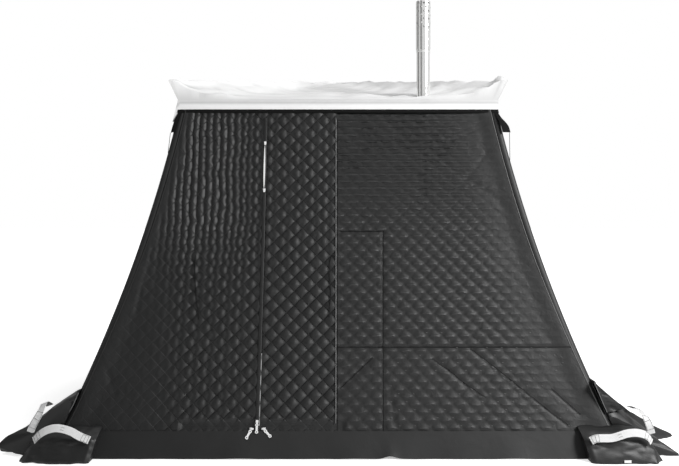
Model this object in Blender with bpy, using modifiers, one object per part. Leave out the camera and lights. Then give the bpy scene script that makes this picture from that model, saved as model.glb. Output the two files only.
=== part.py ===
"""Sauna tent: quilted cover on a bowed corner-pole frame, with weight bags, zipped door and wood stove.

Units are metres, +Z up. The origin is on the ground under the middle of the tent, and the door
wall faces -Y. Run with: blender --background --python part.py
"""

import math

import bmesh
import bpy
from mathutils import Matrix, Vector

# Cover: overall form
HEM_HEIGHT = 1.817
TOP_HALF_WIDTH = 0.908
FOOT_HALF_WIDTH = 1.445
WALL_BOW = 0.046
WALL_THICKNESS = 0.012
WALL_FOOT_HEIGHT = 0.105
WALL_RECESS = 0.001
WALL_ROWS = 10

# Levels that follow the hem
DOOR_HEAD_DROP = 0.049
VENT_TOP_DROP = 0.148
VENT_LENGTH = 0.267
TIE_CORD_FOOT_DROP = 0.252
POLE_TOP_RISE = 0.061
KNUCKLE_RISE = 0.111
FLY_FOLD_RISE = 0.055
FLY_EAVE_RISE = 0.063
FLY_EAR_RISE = 0.148
FLY_HUB_RISE = 0.309
HUB_FOOT_DROP = 0.064
HUB_DISC_DROP = 0.026
HUB_SLOT_HEAD_DROP = 0.034
ARM_INNER_DROP = 0.046
ARRESTOR_TOP_RISE = 0.646

# Clearances
GAP = 0.0003
SEAM_GAP = 0.0005
COVER_GAP = 0.0008
LEAF_END_GAP = 0.002
LEAF_MEETING_GAP = 0.004
RUNNING_GAP = 0.0008
CUT_OVERRUN = 0.01
MERGE = 0.0001

# Corner sleeves and poles
SLEEVE_WIDTH = 0.044
SLEEVE_CHAMFER = 0.010
SLEEVE_BORE_RADIUS = 0.0155
SLEEVE_FOOT_HEIGHT = 0.060
POLE_RADIUS = 0.011
POLE_TOP_HEIGHT = HEM_HEIGHT + POLE_TOP_RISE
POLE_FOOT_RADIUS = 0.017
POLE_FOOT_HEIGHT = 0.028
POLE_POINTS = 14
POLE_FOOT_TRIM = 0.014

# Ground skirt
SKIRT_TOP_HEIGHT = 0.118
SKIRT_THICKNESS = 0.003

# Door
HINGE_LEFT_X = -0.785
HINGE_RIGHT_X = -0.005
ZIP_X = -0.400
DOOR_FOOT_HEIGHT = 0.152
DOOR_HEAD_HEIGHT = HEM_HEIGHT - DOOR_HEAD_DROP
ZIP_STRIP_WIDTH = 0.020
ZIP_STRIP_PROUD = 0.0025
ZIP_STRIP_SUNK = 0.001

# Zip sliders and pulls
SLIDER_LENGTH = 0.020
SLIDER_WIDTH = 0.013
SLIDER_THICKNESS = 0.004
SLIDER_TAIL_SHARE = 0.55
EAR_INNER_HALF = 0.0024
EAR_WIDTH = 0.0022
EAR_LENGTH = 0.005
EAR_HEIGHT = 0.0052
PULL_PIN_HEIGHT = 0.0078
PULL_PIN_RADIUS = 0.0006
PULL_PIN_BORE_RADIUS = 0.0009
TAB_LENGTH = 0.009
TAB_WIDTH = 0.0045
TAB_THICKNESS = 0.003
PULL_LENGTH = 0.057
PULL_LOBE_RADIUS = 0.0083
PULL_WAIST_HALF = 0.0053
PULL_THICKNESS = 0.0028
PULL_HOLE_RADIUS = 0.0032
PULL_TONGUE_HALF = 0.0020
PULL_TONGUE_LENGTH = 0.0065
PULL_ARC_POINTS = 7
MAIN_SLIDER_RISE = 0.014
SILL_SLIDER_DROP = 0.017
SILL_SLIDER_LEFT_REACH = 0.036
SILL_SLIDER_RIGHT_REACH = 0.024
MAIN_SLIDER_HEIGHT = DOOR_FOOT_HEIGHT + MAIN_SLIDER_RISE
SILL_SLIDER_HEIGHT = DOOR_FOOT_HEIGHT - SILL_SLIDER_DROP
SILL_SLIDER_LEFT_X = ZIP_X - SILL_SLIDER_LEFT_REACH
SILL_SLIDER_RIGHT_X = ZIP_X + SILL_SLIDER_RIGHT_REACH
VENT_SLIDER_TOP_HEIGHT = DOOR_HEAD_HEIGHT - VENT_TOP_DROP
VENT_SLIDER_FOOT_HEIGHT = VENT_SLIDER_TOP_HEIGHT - VENT_LENGTH
PULL_LEAN_LEFT_DEG = -28.0
PULL_LEAN_RIGHT_DEG = 44.0

# Roof fly and its hem band
FLY_THICKNESS = 0.003
FLY_FOLD_HEIGHT = HEM_HEIGHT + FLY_FOLD_RISE
FLY_EAVE_HEIGHT = HEM_HEIGHT + FLY_EAVE_RISE
FLY_EAVE_INSET = 0.020
FLY_EAR_REACH = 0.049
FLY_EAR_HEIGHT = HEM_HEIGHT + FLY_EAR_RISE
FLY_EAR_HALF_WIDTH = TOP_HALF_WIDTH + FLY_EAR_REACH
FLY_HUB_HEIGHT = HEM_HEIGHT + FLY_HUB_RISE
FLY_FACET_SAG = 0.020
FLY_CORNER_POWER = 6
FLY_SIDE_STEPS = 12
FLY_RING_SHARES = (0.82, 0.6, 0.35, 0.12)
FLY_PEAK_HALF = 0.020
HEM_BAND_HEIGHT = 0.018
HEM_BAND_THICKNESS = 0.0025
TIE_STRAP_HEAD_WIDTH = 0.022
TIE_STRAP_FOOT_WIDTH = 0.040
TIE_STRAP_THICKNESS = 0.003
TIE_STRAP_DROP = 0.125
TIE_STRAP_REACH = 0.002
TIE_CORD_RADIUS = 0.0015
TIE_CORD_FOOT_HEIGHT = HEM_HEIGHT - TIE_CORD_FOOT_DROP
TIE_CORD_POINTS = 14
TIE_CORD_START_GAP = 0.0014

# Ceiling panel and stove jack
CEILING_THICKNESS = 0.010
CEILING_BEDDING = 0.0006
CEILING_RISE = 0.200
CEILING_RING_SHARES = (0.5, 0.1)
CEILING_EDGE_MARGIN = 0.004
CEILING_CORNER_NOTCH = 0.034
CEILING_FLUE_HOLE_RADIUS = 0.060
FLY_FLUE_HOLE_RADIUS = 0.047
JACK_WIDTH = 0.190
JACK_DEPTH_SHARE = 0.8
JACK_THICKNESS = 0.003
JACK_SLOPE_CLEARANCE = 0.0004

# Roof frame
HUB_RADIUS = 0.055
HUB_FOOT_HEIGHT = FLY_HUB_HEIGHT - HUB_FOOT_DROP
HUB_DISC_HEIGHT = FLY_HUB_HEIGHT - HUB_DISC_DROP
HUB_BUTTON_RADIUS = 0.014
HUB_BUTTON_CLEARANCE = 0.0006
HUB_RIM_ROUND = 0.006
HUB_SLOT_HEAD_HEIGHT = FLY_HUB_HEIGHT - HUB_SLOT_HEAD_DROP
ARM_RADIUS = 0.008
ARM_INNER_REACH = 0.032
ARM_INNER_HEIGHT = FLY_HUB_HEIGHT - ARM_INNER_DROP
ARM_SLOT_HALF_WIDTH = 0.0088
ARM_END_CLEARANCE = 0.003
KNUCKLE_HEAD_RADIUS = 0.022
KNUCKLE_INSET = 0.018
KNUCKLE_HALF_WIDTH = TOP_HALF_WIDTH - KNUCKLE_INSET
KNUCKLE_HEIGHT = HEM_HEIGHT + KNUCKLE_RISE
KNUCKLE_NECK_RADIUS = 0.012
SOCKET_RADIUS = 0.016
SOCKET_FOOT_DEPTH = 0.035
SOCKET_HEAD_RISE = 0.012
SOCKET_BORE_RADIUS = 0.0119

# Weight bags: stations are (share of the length, share of the height, share of the depth)
FRONT_BAG_LENGTH = 0.350
FRONT_BAG_CORNER_INSET = 0.200
FRONT_BAG_INNER_X = FOOT_HALF_WIDTH - FRONT_BAG_CORNER_INSET
FRONT_BAG_HEIGHT = 0.168
FRONT_BAG_DEPTH = 0.085
FRONT_BAG_STATION_SHARES = (
    (0.0, 0.55, 0.35), (0.06, 0.78, 0.80), (0.25, 0.90, 1.0), (0.50, 1.0, 1.0),
    (0.70, 0.93, 0.95), (0.88, 0.55, 0.75), (1.0, 0.12, 0.30),
)
FRONT_BAG_OUTLINE_SHARES = ((0.12, 1.0), (0.55, 0.97), (0.90, 0.62), (1.0, 0.25), (0.93, 0.0))
FRONT_HANDLE_FACET_INDEX = 1
FRONT_HANDLE_SHARES = (0.06, 0.14, 0.25, 0.38, 0.50, 0.60, 0.70)
SIDE_BAG_LENGTH = 0.350
SIDE_BAG_CORNER_INSET = 0.067
SIDE_BAG_OUTER_Y = FOOT_HALF_WIDTH - SIDE_BAG_CORNER_INSET
SIDE_BAG_HEIGHT = 0.300
SIDE_BAG_DEPTH = 0.350
SIDE_BAG_STATION_SHARES = (
    (0.0, 0.45, 0.50), (0.10, 0.85, 0.90), (0.35, 1.0, 1.0),
    (0.65, 1.0, 1.0), (0.90, 0.85, 0.90), (1.0, 0.45, 0.50),
)
SIDE_BAG_OUTLINE_SHARES = (
    (0.05, 1.0), (0.33, 0.78), (0.59, 0.48), (0.83, 0.27), (1.0, 0.10), (1.0, 0.0),
)
SIDE_HANDLE_FACET_INDEX = 2
SIDE_HANDLE_SHARES = (0.10, 0.20, 0.35, 0.50, 0.65, 0.80, 0.90)
BAG_WALL_CLEARANCE = 0.0045
HANDLE_WIDTH = 0.038
HANDLE_THICKNESS = 0.0022
HANDLE_SLACK = 0.0035
HANDLE_SEAT = 0.0004

# Stove
FLUE_X = 0.497
FLUE_WALL_DISTANCE = 0.108
FLUE_Y = FLUE_WALL_DISTANCE - TOP_HALF_WIDTH
FLUE_RADIUS = 0.0385
FLUE_WALL = 0.0012
ARRESTOR_TOP_HEIGHT = HEM_HEIGHT + ARRESTOR_TOP_RISE
ARRESTOR_LENGTH = 0.283
ARRESTOR_SLIP_LENGTH = 0.035
ARRESTOR_FOOT_HEIGHT = ARRESTOR_TOP_HEIGHT - ARRESTOR_LENGTH
FLUE_TOP_HEIGHT = ARRESTOR_FOOT_HEIGHT + ARRESTOR_SLIP_LENGTH
FLUE_BEAD = 0.002
FLUE_BEAD_LENGTH = 0.012
FLUE_SECTION_LENGTH = 0.580
FIREBOX_WIDTH = 0.250
FIREBOX_LENGTH = 0.420
FIREBOX_HEIGHT = 0.250
FIREBOX_WALL = 0.004
FIREBOX_BACK_OFFSET = 0.080
FIREBOX_EDGE_ROUND = 0.006
FIREBOX_LEG_HEIGHT = 0.180
FIREBOX_LEG_RADIUS = 0.010
FIREBOX_LEG_INSET = 0.030
COLLAR_HEIGHT = 0.030
COLLAR_WALL = 0.002
STOVE_DOOR_WIDTH = 0.180
STOVE_DOOR_HEIGHT = 0.170
STOVE_DOOR_THICKNESS = 0.006
STOVE_DOOR_LAP = 0.014
STOVE_DOOR_GAP = 0.001
STOVE_DOOR_RIM = 0.020
STOVE_DOOR_RELIEF = 0.002
HINGE_STANDOFF = 0.0095
HINGE_BARREL_RADIUS = 0.007
HINGE_BARREL_LENGTH = 0.110
HINGE_BARREL_OFFSET = 0.0085
HINGE_PIN_RADIUS = 0.0032
HINGE_BORE_RADIUS = 0.0038
HINGE_LUG_LENGTH = 0.016
HINGE_LUG_HALF_WIDTH = 0.005
LATCH_LENGTH = 0.084
LATCH_WIDTH = 0.014
LATCH_THICKNESS = 0.005
LATCH_DOOR_GAP = 0.001
LATCH_GAP = 0.0005
LATCH_PIVOT_RADIUS = 0.004
LATCH_BORE_RADIUS = 0.0045
LATCH_BOSS_RADIUS = 0.007
LATCH_HEAD_RADIUS = 0.0065
LATCH_HEAD_THICKNESS = 0.002
LATCH_PIVOT_OFFSET = 0.014
LATCH_TONGUE_LENGTH = 0.044
LATCH_REST_DEG = 90.0
STONE_RAIL_HEIGHT = 0.035
STONE_RAIL_RADIUS = 0.004
STONE_RAIL_LENGTH = 0.240
STONE_RAIL_WIDTH = 0.200
STONE_RAIL_FRONT_INSET = 0.020
DAMPER_HEIGHT = 0.860
DAMPER_CLEARANCE = 0.003
DAMPER_THICKNESS = 0.002
DAMPER_ROD_RADIUS = 0.003
DAMPER_ROD_BORE_RADIUS = 0.0036
DAMPER_ROD_OVERHANG = 0.060
DAMPER_ROD_TAIL = 0.008
DAMPER_GRIP_RADIUS = 0.007
DAMPER_GRIP_LENGTH = 0.034

# Spark arrestor
ARRESTOR_RADIUS = 0.042
ARRESTOR_WALL = 0.0016
ARRESTOR_LEDGE_RADIUS = 0.0360
ARRESTOR_LEDGE_THICKNESS = 0.002
ARRESTOR_CAP_ROUND = 0.003
ARRESTOR_HOLE_RADIUS = 0.0062
ARRESTOR_HOLE_SIDES = 6
ARRESTOR_HOLES_AROUND = 8
ARRESTOR_HOLE_ROWS = 7
ARRESTOR_HOLE_TOP_INSET = 0.018
ARRESTOR_HOLE_TOP_HEIGHT = ARRESTOR_TOP_HEIGHT - ARRESTOR_HOLE_TOP_INSET
ARRESTOR_HOLE_PITCH = 0.0226

# Door tie-back cords: places across and up the door wall, top end first
TIE_BACK_RADIUS = 0.002
TIE_BACK_POINTS = 36
TIE_BACK_LEFT_ROUTE = (
    (-0.774, 0.998), (-0.776, 0.962), (-0.775, 0.925), (-0.771, 0.885), (-0.766, 0.840),
    (-0.760, 0.795), (-0.753, 0.750), (-0.745, 0.705), (-0.738, 0.664),
)
TIE_BACK_RIGHT_ROUTE = (
    (-0.012, 0.988), (-0.024, 0.996), (-0.036, 0.990), (-0.045, 0.966), (-0.048, 0.925),
    (-0.046, 0.880), (-0.042, 0.835), (-0.040, 0.790), (-0.043, 0.745), (-0.047, 0.705), (-0.049, 0.678),
)

ROUND_SIDES = 24
SMALL_SIDES = 12
FINE_SIDES = 8
CURVE_STEPS = 24
SMOOTH_EDGE_DEG = 40.0
SIDE_NAMES = ("front", "right", "rear", "left")
CORNERS = (("front_left", -1, -1), ("front_right", 1, -1), ("rear_right", 1, 1), ("rear_left", -1, 1))

COLOURS = {
    "quilt_black": ((0.035, 0.036, 0.036, 1.0), 0.75, 0.0),
    "fly_white": ((0.80, 0.80, 0.80, 1.0), 0.60, 0.0),
    "webbing_black": ((0.010, 0.010, 0.010, 1.0), 0.80, 0.0),
    "webbing_silver": ((0.72, 0.72, 0.72, 1.0), 0.50, 0.0),
    "skirt_black": ((0.028, 0.029, 0.030, 1.0), 0.70, 0.0),
    "bag_black": ((0.040, 0.041, 0.042, 1.0), 0.65, 0.0),
    "cord_black": ((0.012, 0.012, 0.012, 1.0), 0.70, 0.0),
    "pole_steel": ((0.45, 0.46, 0.47, 1.0), 0.35, 1.0),
    "frame_plastic": ((0.020, 0.020, 0.022, 1.0), 0.50, 0.0),
    "zip_white": ((0.80, 0.80, 0.80, 1.0), 0.45, 0.0),
    "stove_black": ((0.022, 0.022, 0.022, 1.0), 0.60, 0.6),
    "flue_steel": ((0.62, 0.62, 0.62, 1.0), 0.28, 1.0),
    "jack_grey": ((0.30, 0.29, 0.27, 1.0), 0.80, 0.0),
}


# Wall curve: an arc in the plane of height and half width, its centre out in front of the wall

def wall_arc():
    """Return the centre (half width, height) and radius of the walls' bowed profile."""
    foot = Vector((FOOT_HALF_WIDTH, 0.0))
    top = Vector((TOP_HALF_WIDTH, HEM_HEIGHT))
    chord = top - foot
    radius = chord.length_squared / (8 * WALL_BOW) + WALL_BOW / 2
    outward = Vector((chord.y, -chord.x)).normalized()
    centre = (foot + top) / 2 + outward * (radius - WALL_BOW)
    return centre, radius


ARC_CENTRE, ARC_RADIUS = wall_arc()


def edge_half_width(height):
    """Half width of the tent over the corner sleeves at a height."""
    rise = height - ARC_CENTRE.y
    return ARC_CENTRE.x - math.sqrt(ARC_RADIUS ** 2 - rise ** 2)


def wall_point(height, inset):
    """Point (half width, height) that lies inset into the wall from the sleeve's surface."""
    on_edge = Vector((edge_half_width(height), height))
    inward = (on_edge - ARC_CENTRE).normalized()
    return on_edge + inward * inset


def front_point(x, height, inset):
    """World point on the front wall at x, for a height on the wall curve and an inset."""
    place = wall_point(height, inset)
    return Vector((x, -place.x, place.y))


def front_normal(height):
    """Outward unit normal of the front wall at a height."""
    inward = (Vector((edge_half_width(height), height)) - ARC_CENTRE).normalized()
    return Vector((0.0, inward.x, -inward.y))


def spread(low, high, count):
    """Evenly spaced values from low to high, both ends included."""
    return [low + (high - low) * i / (count - 1) for i in range(count)]


# Scene and object helpers

def clear_scene():
    """Remove every object that the file starts with."""
    for item in list(bpy.data.objects):
        bpy.data.objects.remove(item, do_unlink=True)


def new_collection(name):
    """Make a collection and link it to the scene."""
    group = bpy.data.collections.new(name)
    bpy.context.scene.collection.children.link(group)
    return group


clear_scene()
PARTS = new_collection("sauna_tent")
CUTTERS = new_collection("cutters")


def material(name):
    """Return the named finish, made on first use."""
    found = bpy.data.materials.get(name)
    if found:
        return found
    colour, roughness, metallic = COLOURS[name]
    made = bpy.data.materials.new(name)
    made.use_nodes = True
    shader = made.node_tree.nodes["Principled BSDF"]
    shader.inputs["Base Color"].default_value = colour
    shader.inputs["Roughness"].default_value = roughness
    shader.inputs["Metallic"].default_value = metallic
    made.diffuse_color = colour
    return made


def add_part(name, mesh, finish):
    """Add a mesh, placed in world coordinates, as a named part."""
    part = bpy.data.objects.new(name, mesh)
    part.data.materials.append(material(finish))
    PARTS.objects.link(part)
    return part


def add_cutter(name, mesh):
    """Add a mesh as a hidden cutter or a piece to be joined."""
    cutter = bpy.data.objects.new(name, mesh)
    CUTTERS.objects.link(cutter)
    cutter.hide_render = True
    cutter.display_type = "WIRE"
    return cutter


def mesh_from(bm, name):
    """Turn a bmesh into a mesh with its faces pointing out."""
    bmesh.ops.recalc_face_normals(bm, faces=bm.faces)
    mesh = bpy.data.meshes.new(name)
    bm.to_mesh(mesh)
    bm.free()
    return mesh


def combine(part, tool, operation):
    """Cut a part by a tool, or join the tool to it."""
    step = part.modifiers.new(tool.name, "BOOLEAN")
    step.operation = operation
    step.object = tool


def cut(part, tool):
    """Take a tool's volume out of a part."""
    combine(part, tool, "DIFFERENCE")


def join(part, tool):
    """Make a tool's volume one with a part."""
    combine(part, tool, "UNION")


def solidify(part, thickness):
    """Give an open surface its thickness, on the side away from its normals."""
    step = part.modifiers.new("thickness", "SOLIDIFY")
    step.thickness = thickness
    step.offset = -1
    step.use_even_offset = True


def bevel(part, width, segments):
    """Round a part's edges."""
    step = part.modifiers.new("rounding", "BEVEL")
    step.width = width
    step.segments = segments
    step.limit_method = "ANGLE"


def shade_round(part):
    """Shade a round piece smooth, with its sharp edges kept."""
    part.data.shade_smooth()
    part.data.set_sharp_from_angle(angle=math.radians(SMOOTH_EDGE_DEG))


def seat(part, origin, parent=None):
    """Put a part's origin on its joint's axis, and hang it from its parent."""
    origin = Vector(origin)
    part.data.transform(Matrix.Translation(-origin))
    if parent is None:
        part.location = origin
        return
    part.parent = parent
    part.location = origin - parent.matrix_world.translation
    bpy.context.view_layer.update()


# Mesh makers

def loft(rings, name, closed=False):
    """Skin a run of rings with equal point counts, capped at both ends or closed on itself."""
    bm = bmesh.new()
    rows = [[bm.verts.new(point) for point in ring] for ring in rings]
    count = len(rows[0])
    pairs = list(zip(rows, rows[1:]))
    if closed:
        pairs.append((rows[-1], rows[0]))
    else:
        bm.faces.new(rows[0])
        bm.faces.new(rows[-1])
    for low, high in pairs:
        for i in range(count):
            j = (i + 1) % count
            bm.faces.new((low[i], low[j], high[j], high[i]))
    return mesh_from(bm, name)


def box_mesh(name, size, centre, turn=None):
    """A box of a size, optionally turned, at a centre."""
    bm = bmesh.new()
    bmesh.ops.create_cube(bm, size=1.0, matrix=Matrix.Diagonal((*size, 1.0)))
    place = Matrix.Translation(centre)
    if turn is not None:
        place = place @ turn
    bmesh.ops.transform(bm, matrix=place, verts=bm.verts)
    return mesh_from(bm, name)


def rod_mesh(name, start, end, radius, sides=SMALL_SIDES, end_radius=None):
    """A straight rod, or a cone, between two points."""
    start = Vector(start)
    end = Vector(end)
    run = end - start
    bm = bmesh.new()
    bmesh.ops.create_cone(
        bm, cap_ends=True, segments=sides, radius1=radius,
        radius2=radius if end_radius is None else end_radius, depth=run.length,
    )
    turn = run.to_track_quat("Z", "Y").to_matrix().to_4x4()
    bmesh.ops.transform(bm, matrix=Matrix.Translation((start + end) / 2) @ turn, verts=bm.verts)
    return mesh_from(bm, name)


def ball_mesh(name, centre, radius):
    """A ball."""
    bm = bmesh.new()
    bmesh.ops.create_uvsphere(bm, u_segments=SMALL_SIDES, v_segments=FINE_SIDES, radius=radius)
    bmesh.ops.translate(bm, verts=bm.verts, vec=centre)
    return mesh_from(bm, name)


def turned_part(name, profile, centre, finish, sides=ROUND_SIDES, closed=False):
    """Turn a profile of (radius, height) about an upright axis; the outer side runs top to bottom."""
    bm = bmesh.new()
    verts = [bm.verts.new((radius, 0.0, height)) for radius, height in profile]
    for first, second in zip(verts, verts[1:]):
        bm.edges.new((first, second))
    if closed:
        bm.edges.new((verts[-1], verts[0]))
    mesh = bpy.data.meshes.new(name)
    bm.to_mesh(mesh)
    bm.free()
    part = add_part(name, mesh, finish)
    part.location = (centre[0], centre[1], 0.0)
    turn = part.modifiers.new("turning", "SCREW")
    turn.steps = sides
    turn.render_steps = sides
    turn.use_merge_vertices = True
    turn.merge_threshold = MERGE
    turn.use_smooth_shade = True
    return part


def tube_mesh(name, points, radius, resolution=2, ring=False):
    """A round bar along points, made with a bevelled curve and then a welded mesh."""
    curve = bpy.data.curves.new(name, "CURVE")
    curve.dimensions = "3D"
    curve.bevel_depth = radius
    curve.bevel_resolution = resolution
    curve.use_fill_caps = True
    spline = curve.splines.new("POLY")
    spline.points.add(len(points) - 1)
    for slot, point in zip(spline.points, points):
        slot.co = (*point, 1.0)
    spline.use_cyclic_u = ring
    holder = bpy.data.objects.new(name, curve)
    CUTTERS.objects.link(holder)
    bpy.context.view_layer.update()
    seen = holder.evaluated_get(bpy.context.evaluated_depsgraph_get())
    mesh = bpy.data.meshes.new_from_object(seen)
    bpy.data.objects.remove(holder, do_unlink=True)
    bm = bmesh.new()
    bm.from_mesh(mesh)
    bmesh.ops.remove_doubles(bm, verts=bm.verts, dist=MERGE)
    bm.to_mesh(mesh)
    bm.free()
    mesh.materials.clear()
    return mesh


def outline_mesh(name, outlines, thickness, place):
    """A flat outline, and the outlines of its holes, with a thickness centred on its plane."""
    curve = bpy.data.curves.new(name, "CURVE")
    curve.dimensions = "2D"
    curve.fill_mode = "BOTH"
    curve.extrude = thickness / 2
    for points in outlines:
        spline = curve.splines.new("POLY")
        spline.points.add(len(points) - 1)
        for slot, point in zip(spline.points, points):
            slot.co = (point[0], point[1], 0.0, 1.0)
        spline.use_cyclic_u = True
    holder = bpy.data.objects.new(name, curve)
    CUTTERS.objects.link(holder)
    bpy.context.view_layer.update()
    seen = holder.evaluated_get(bpy.context.evaluated_depsgraph_get())
    mesh = bpy.data.meshes.new_from_object(seen)
    bpy.data.objects.remove(holder, do_unlink=True)
    bm = bmesh.new()
    bm.from_mesh(mesh)
    bmesh.ops.remove_doubles(bm, verts=bm.verts, dist=MERGE / 10)
    bmesh.ops.transform(bm, matrix=place, verts=bm.verts)
    bmesh.ops.recalc_face_normals(bm, faces=bm.faces)
    bm.to_mesh(mesh)
    bm.free()
    mesh.materials.clear()
    return mesh


def smooth_run(points, count):
    """Read evenly spaced points from one smooth curve through the given points."""
    points = [Vector(point) for point in points]
    ends = [points[0] * 2 - points[1]] + points + [points[-1] * 2 - points[-2]]
    dense = []
    for a, b, c, d in zip(ends, ends[1:], ends[2:], ends[3:]):
        for i in range(CURVE_STEPS):
            t = i / CURVE_STEPS
            dense.append((b * 2 + (c - a) * t + (a * 2 - b * 5 + c * 4 - d) * t ** 2
                          + (b * 3 - a - c * 3 + d) * t ** 3) / 2)
    dense.append(points[-1])
    reach = [0.0]
    for first, second in zip(dense, dense[1:]):
        reach.append(reach[-1] + (second - first).length)
    placed = []
    index = 0
    for target in spread(0.0, reach[-1], count):
        while index < len(dense) - 2 and reach[index + 1] < target:
            index += 1
        part = (target - reach[index]) / (reach[index + 1] - reach[index])
        placed.append(dense[index].lerp(dense[index + 1], part))
    return placed


# Cover

def quarter_turn(side):
    """Rotation that brings the front side's shape to a side, counted anticlockwise."""
    return Matrix.Rotation(math.pi / 2 * side, 4, "Z")


def wall_grid(name, columns, heights, inset, hole=None):
    """An open sheet on the front wall's curve, from columns (functions of height) and heights."""
    bm = bmesh.new()
    across = len(columns) - 1
    up = len(heights) - 1
    bmesh.ops.create_grid(bm, x_segments=across, y_segments=up, size=1.0)
    bm.verts.ensure_lookup_table()
    for index, vert in enumerate(bm.verts):
        column = index % (across + 1)
        height = heights[index // (across + 1)]
        vert.co = front_point(columns[column](height), height, inset)
    if hole:
        left, right, low, high = hole
        inside = [face for face in bm.faces
                  if left < face.calc_center_median().x < right
                  and low < face.calc_center_median().z < high]
        bmesh.ops.delete(bm, geom=inside, context="FACES")
    bmesh.ops.recalc_face_normals(bm, faces=bm.faces)
    if bm.faces[:][0].normal.y > 0:
        bmesh.ops.reverse_faces(bm, faces=bm.faces)
    mesh = bpy.data.meshes.new(name)
    bm.to_mesh(mesh)
    bm.free()
    return mesh


def wall_edge(sign):
    """Column function for a wall's side edge, where it meets the corner sleeve."""
    return lambda height: sign * (edge_half_width(height) - SLEEVE_WIDTH - SEAM_GAP)


def straight(x):
    """Column function for an edge at a constant x."""
    return lambda height: x


def door_heights():
    """Levels of the door leaves, foot to head."""
    return spread(DOOR_FOOT_HEIGHT, DOOR_HEAD_HEIGHT, WALL_ROWS)


def make_front_wall():
    """Door wall: one quilted panel with the doorway cut out of it."""
    opening = spread(DOOR_FOOT_HEIGHT - LEAF_END_GAP, DOOR_HEAD_HEIGHT + LEAF_END_GAP, WALL_ROWS)
    heights = [WALL_FOOT_HEIGHT] + opening + [HEM_HEIGHT - LEAF_END_GAP]
    left = HINGE_LEFT_X - SEAM_GAP
    right = HINGE_RIGHT_X + SEAM_GAP
    columns = [wall_edge(-1), straight(left), straight(right), wall_edge(1)]
    mesh = wall_grid("front_wall", columns, heights, WALL_RECESS, (left, right, opening[0], opening[-1]))
    solidify(add_part("front_wall", mesh, "quilt_black"), WALL_THICKNESS)


def make_plain_walls():
    """Right, rear and left walls: one quilted panel each."""
    heights = spread(WALL_FOOT_HEIGHT, HEM_HEIGHT - LEAF_END_GAP, WALL_ROWS)
    for side in (1, 2, 3):
        name = SIDE_NAMES[side] + "_wall"
        mesh = wall_grid(name, [wall_edge(-1), wall_edge(1)], heights, WALL_RECESS)
        wall = add_part(name, mesh, "quilt_black")
        wall.rotation_euler.z = math.pi / 2 * side
        solidify(wall, WALL_THICKNESS)


def chamfered_square(centre, half, chamfer, height):
    """Eight points round a square with cut corners."""
    inner = half - chamfer
    corners = ((half, -inner), (half, inner), (inner, half), (-inner, half),
               (-half, inner), (-half, -inner), (-inner, -half), (inner, -half))
    return [Vector((centre[0] + x, centre[1] + y, height)) for x, y in corners]


def octagon(centre, radius, height):
    """Eight points round a circle, in step with the chamfered square's."""
    turn = math.pi / 8
    return [Vector((centre[0] + radius * math.cos(turn * (2 * i - 1)),
                    centre[1] + radius * math.sin(turn * (2 * i - 1)), height)) for i in range(8)]


def pole_centre(height):
    """Half width of a corner pole's axis at a height."""
    return edge_half_width(height) - SLEEVE_WIDTH / 2


def make_sleeves():
    """Corner sleeves: hollow fabric tubes that follow the poles and close the cover's corners."""
    heights = spread(SLEEVE_FOOT_HEIGHT, HEM_HEIGHT - LEAF_END_GAP, WALL_ROWS)
    for name, sign_x, sign_y in CORNERS:
        outer = []
        inner = []
        for height in heights:
            place = pole_centre(height)
            centre = (sign_x * place, sign_y * place)
            outer.append(chamfered_square(centre, SLEEVE_WIDTH / 2, SLEEVE_CHAMFER, height))
            inner.append(octagon(centre, SLEEVE_BORE_RADIUS, height))
        mesh = loft(outer + inner[::-1], "corner_sleeve_" + name, closed=True)
        add_part("corner_sleeve_" + name, mesh, "quilt_black")


def square_ring(half, height):
    """Four corner points of a level square, anticlockwise."""
    return [Vector((x * half, y * half, height)) for x, y in ((-1, -1), (1, -1), (1, 1), (-1, 1))]


def make_skirt():
    """Ground skirt: a sewn band round the cover's foot that closes the tent to the ground."""
    heights = spread(0.0, SKIRT_TOP_HEIGHT, 4)
    outer = [square_ring(edge_half_width(z) + COVER_GAP + SKIRT_THICKNESS, z) for z in heights]
    inner = [square_ring(edge_half_width(z) + COVER_GAP, z) for z in heights]
    add_part("ground_skirt", loft(outer + inner[::-1], "ground_skirt", closed=True), "skirt_black")


def fly_ring(eave_half, eave_height, share):
    """One ring of the fly: share 1 is the eave with its raised corner ears, 0 is the hub."""
    points = []
    for side in range(4):
        turn = quarter_turn(side)
        for i in range(FLY_SIDE_STEPS):
            along = -1 + 2 * i / FLY_SIDE_STEPS
            corner = abs(along) ** FLY_CORNER_POWER
            half = eave_half + (FLY_EAR_HALF_WIDTH - eave_half) * corner
            height = eave_height + (FLY_EAR_HEIGHT - eave_height) * corner
            sag = 4 * FLY_FACET_SAG * (1 - corner) * share * (1 - share)
            level = height * share + FLY_HUB_HEIGHT * (1 - share) - sag
            points.append(turn @ Vector((along * half * share, -half * share, level)))
    return points


def level_ring(half, height):
    """A level square ring with the fly's point count."""
    points = []
    for side in range(4):
        turn = quarter_turn(side)
        for i in range(FLY_SIDE_STEPS):
            along = -1 + 2 * i / FLY_SIDE_STEPS
            points.append(turn @ Vector((along * half, -half, height)))
    return points


def sheet_from_rings(rings, name):
    """An open sheet through rings, closed over the last one."""
    bm = bmesh.new()
    rows = [[bm.verts.new(point) for point in ring] for ring in rings]
    count = len(rows[0])
    for low, high in zip(rows, rows[1:]):
        for i in range(count):
            j = (i + 1) % count
            bm.faces.new((low[i], low[j], high[j], high[i]))
    bm.faces.new(rows[-1])
    bmesh.ops.recalc_face_normals(bm, faces=bm.faces)
    mesh = bpy.data.meshes.new(name)
    bm.to_mesh(mesh)
    bm.free()
    return mesh


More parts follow.
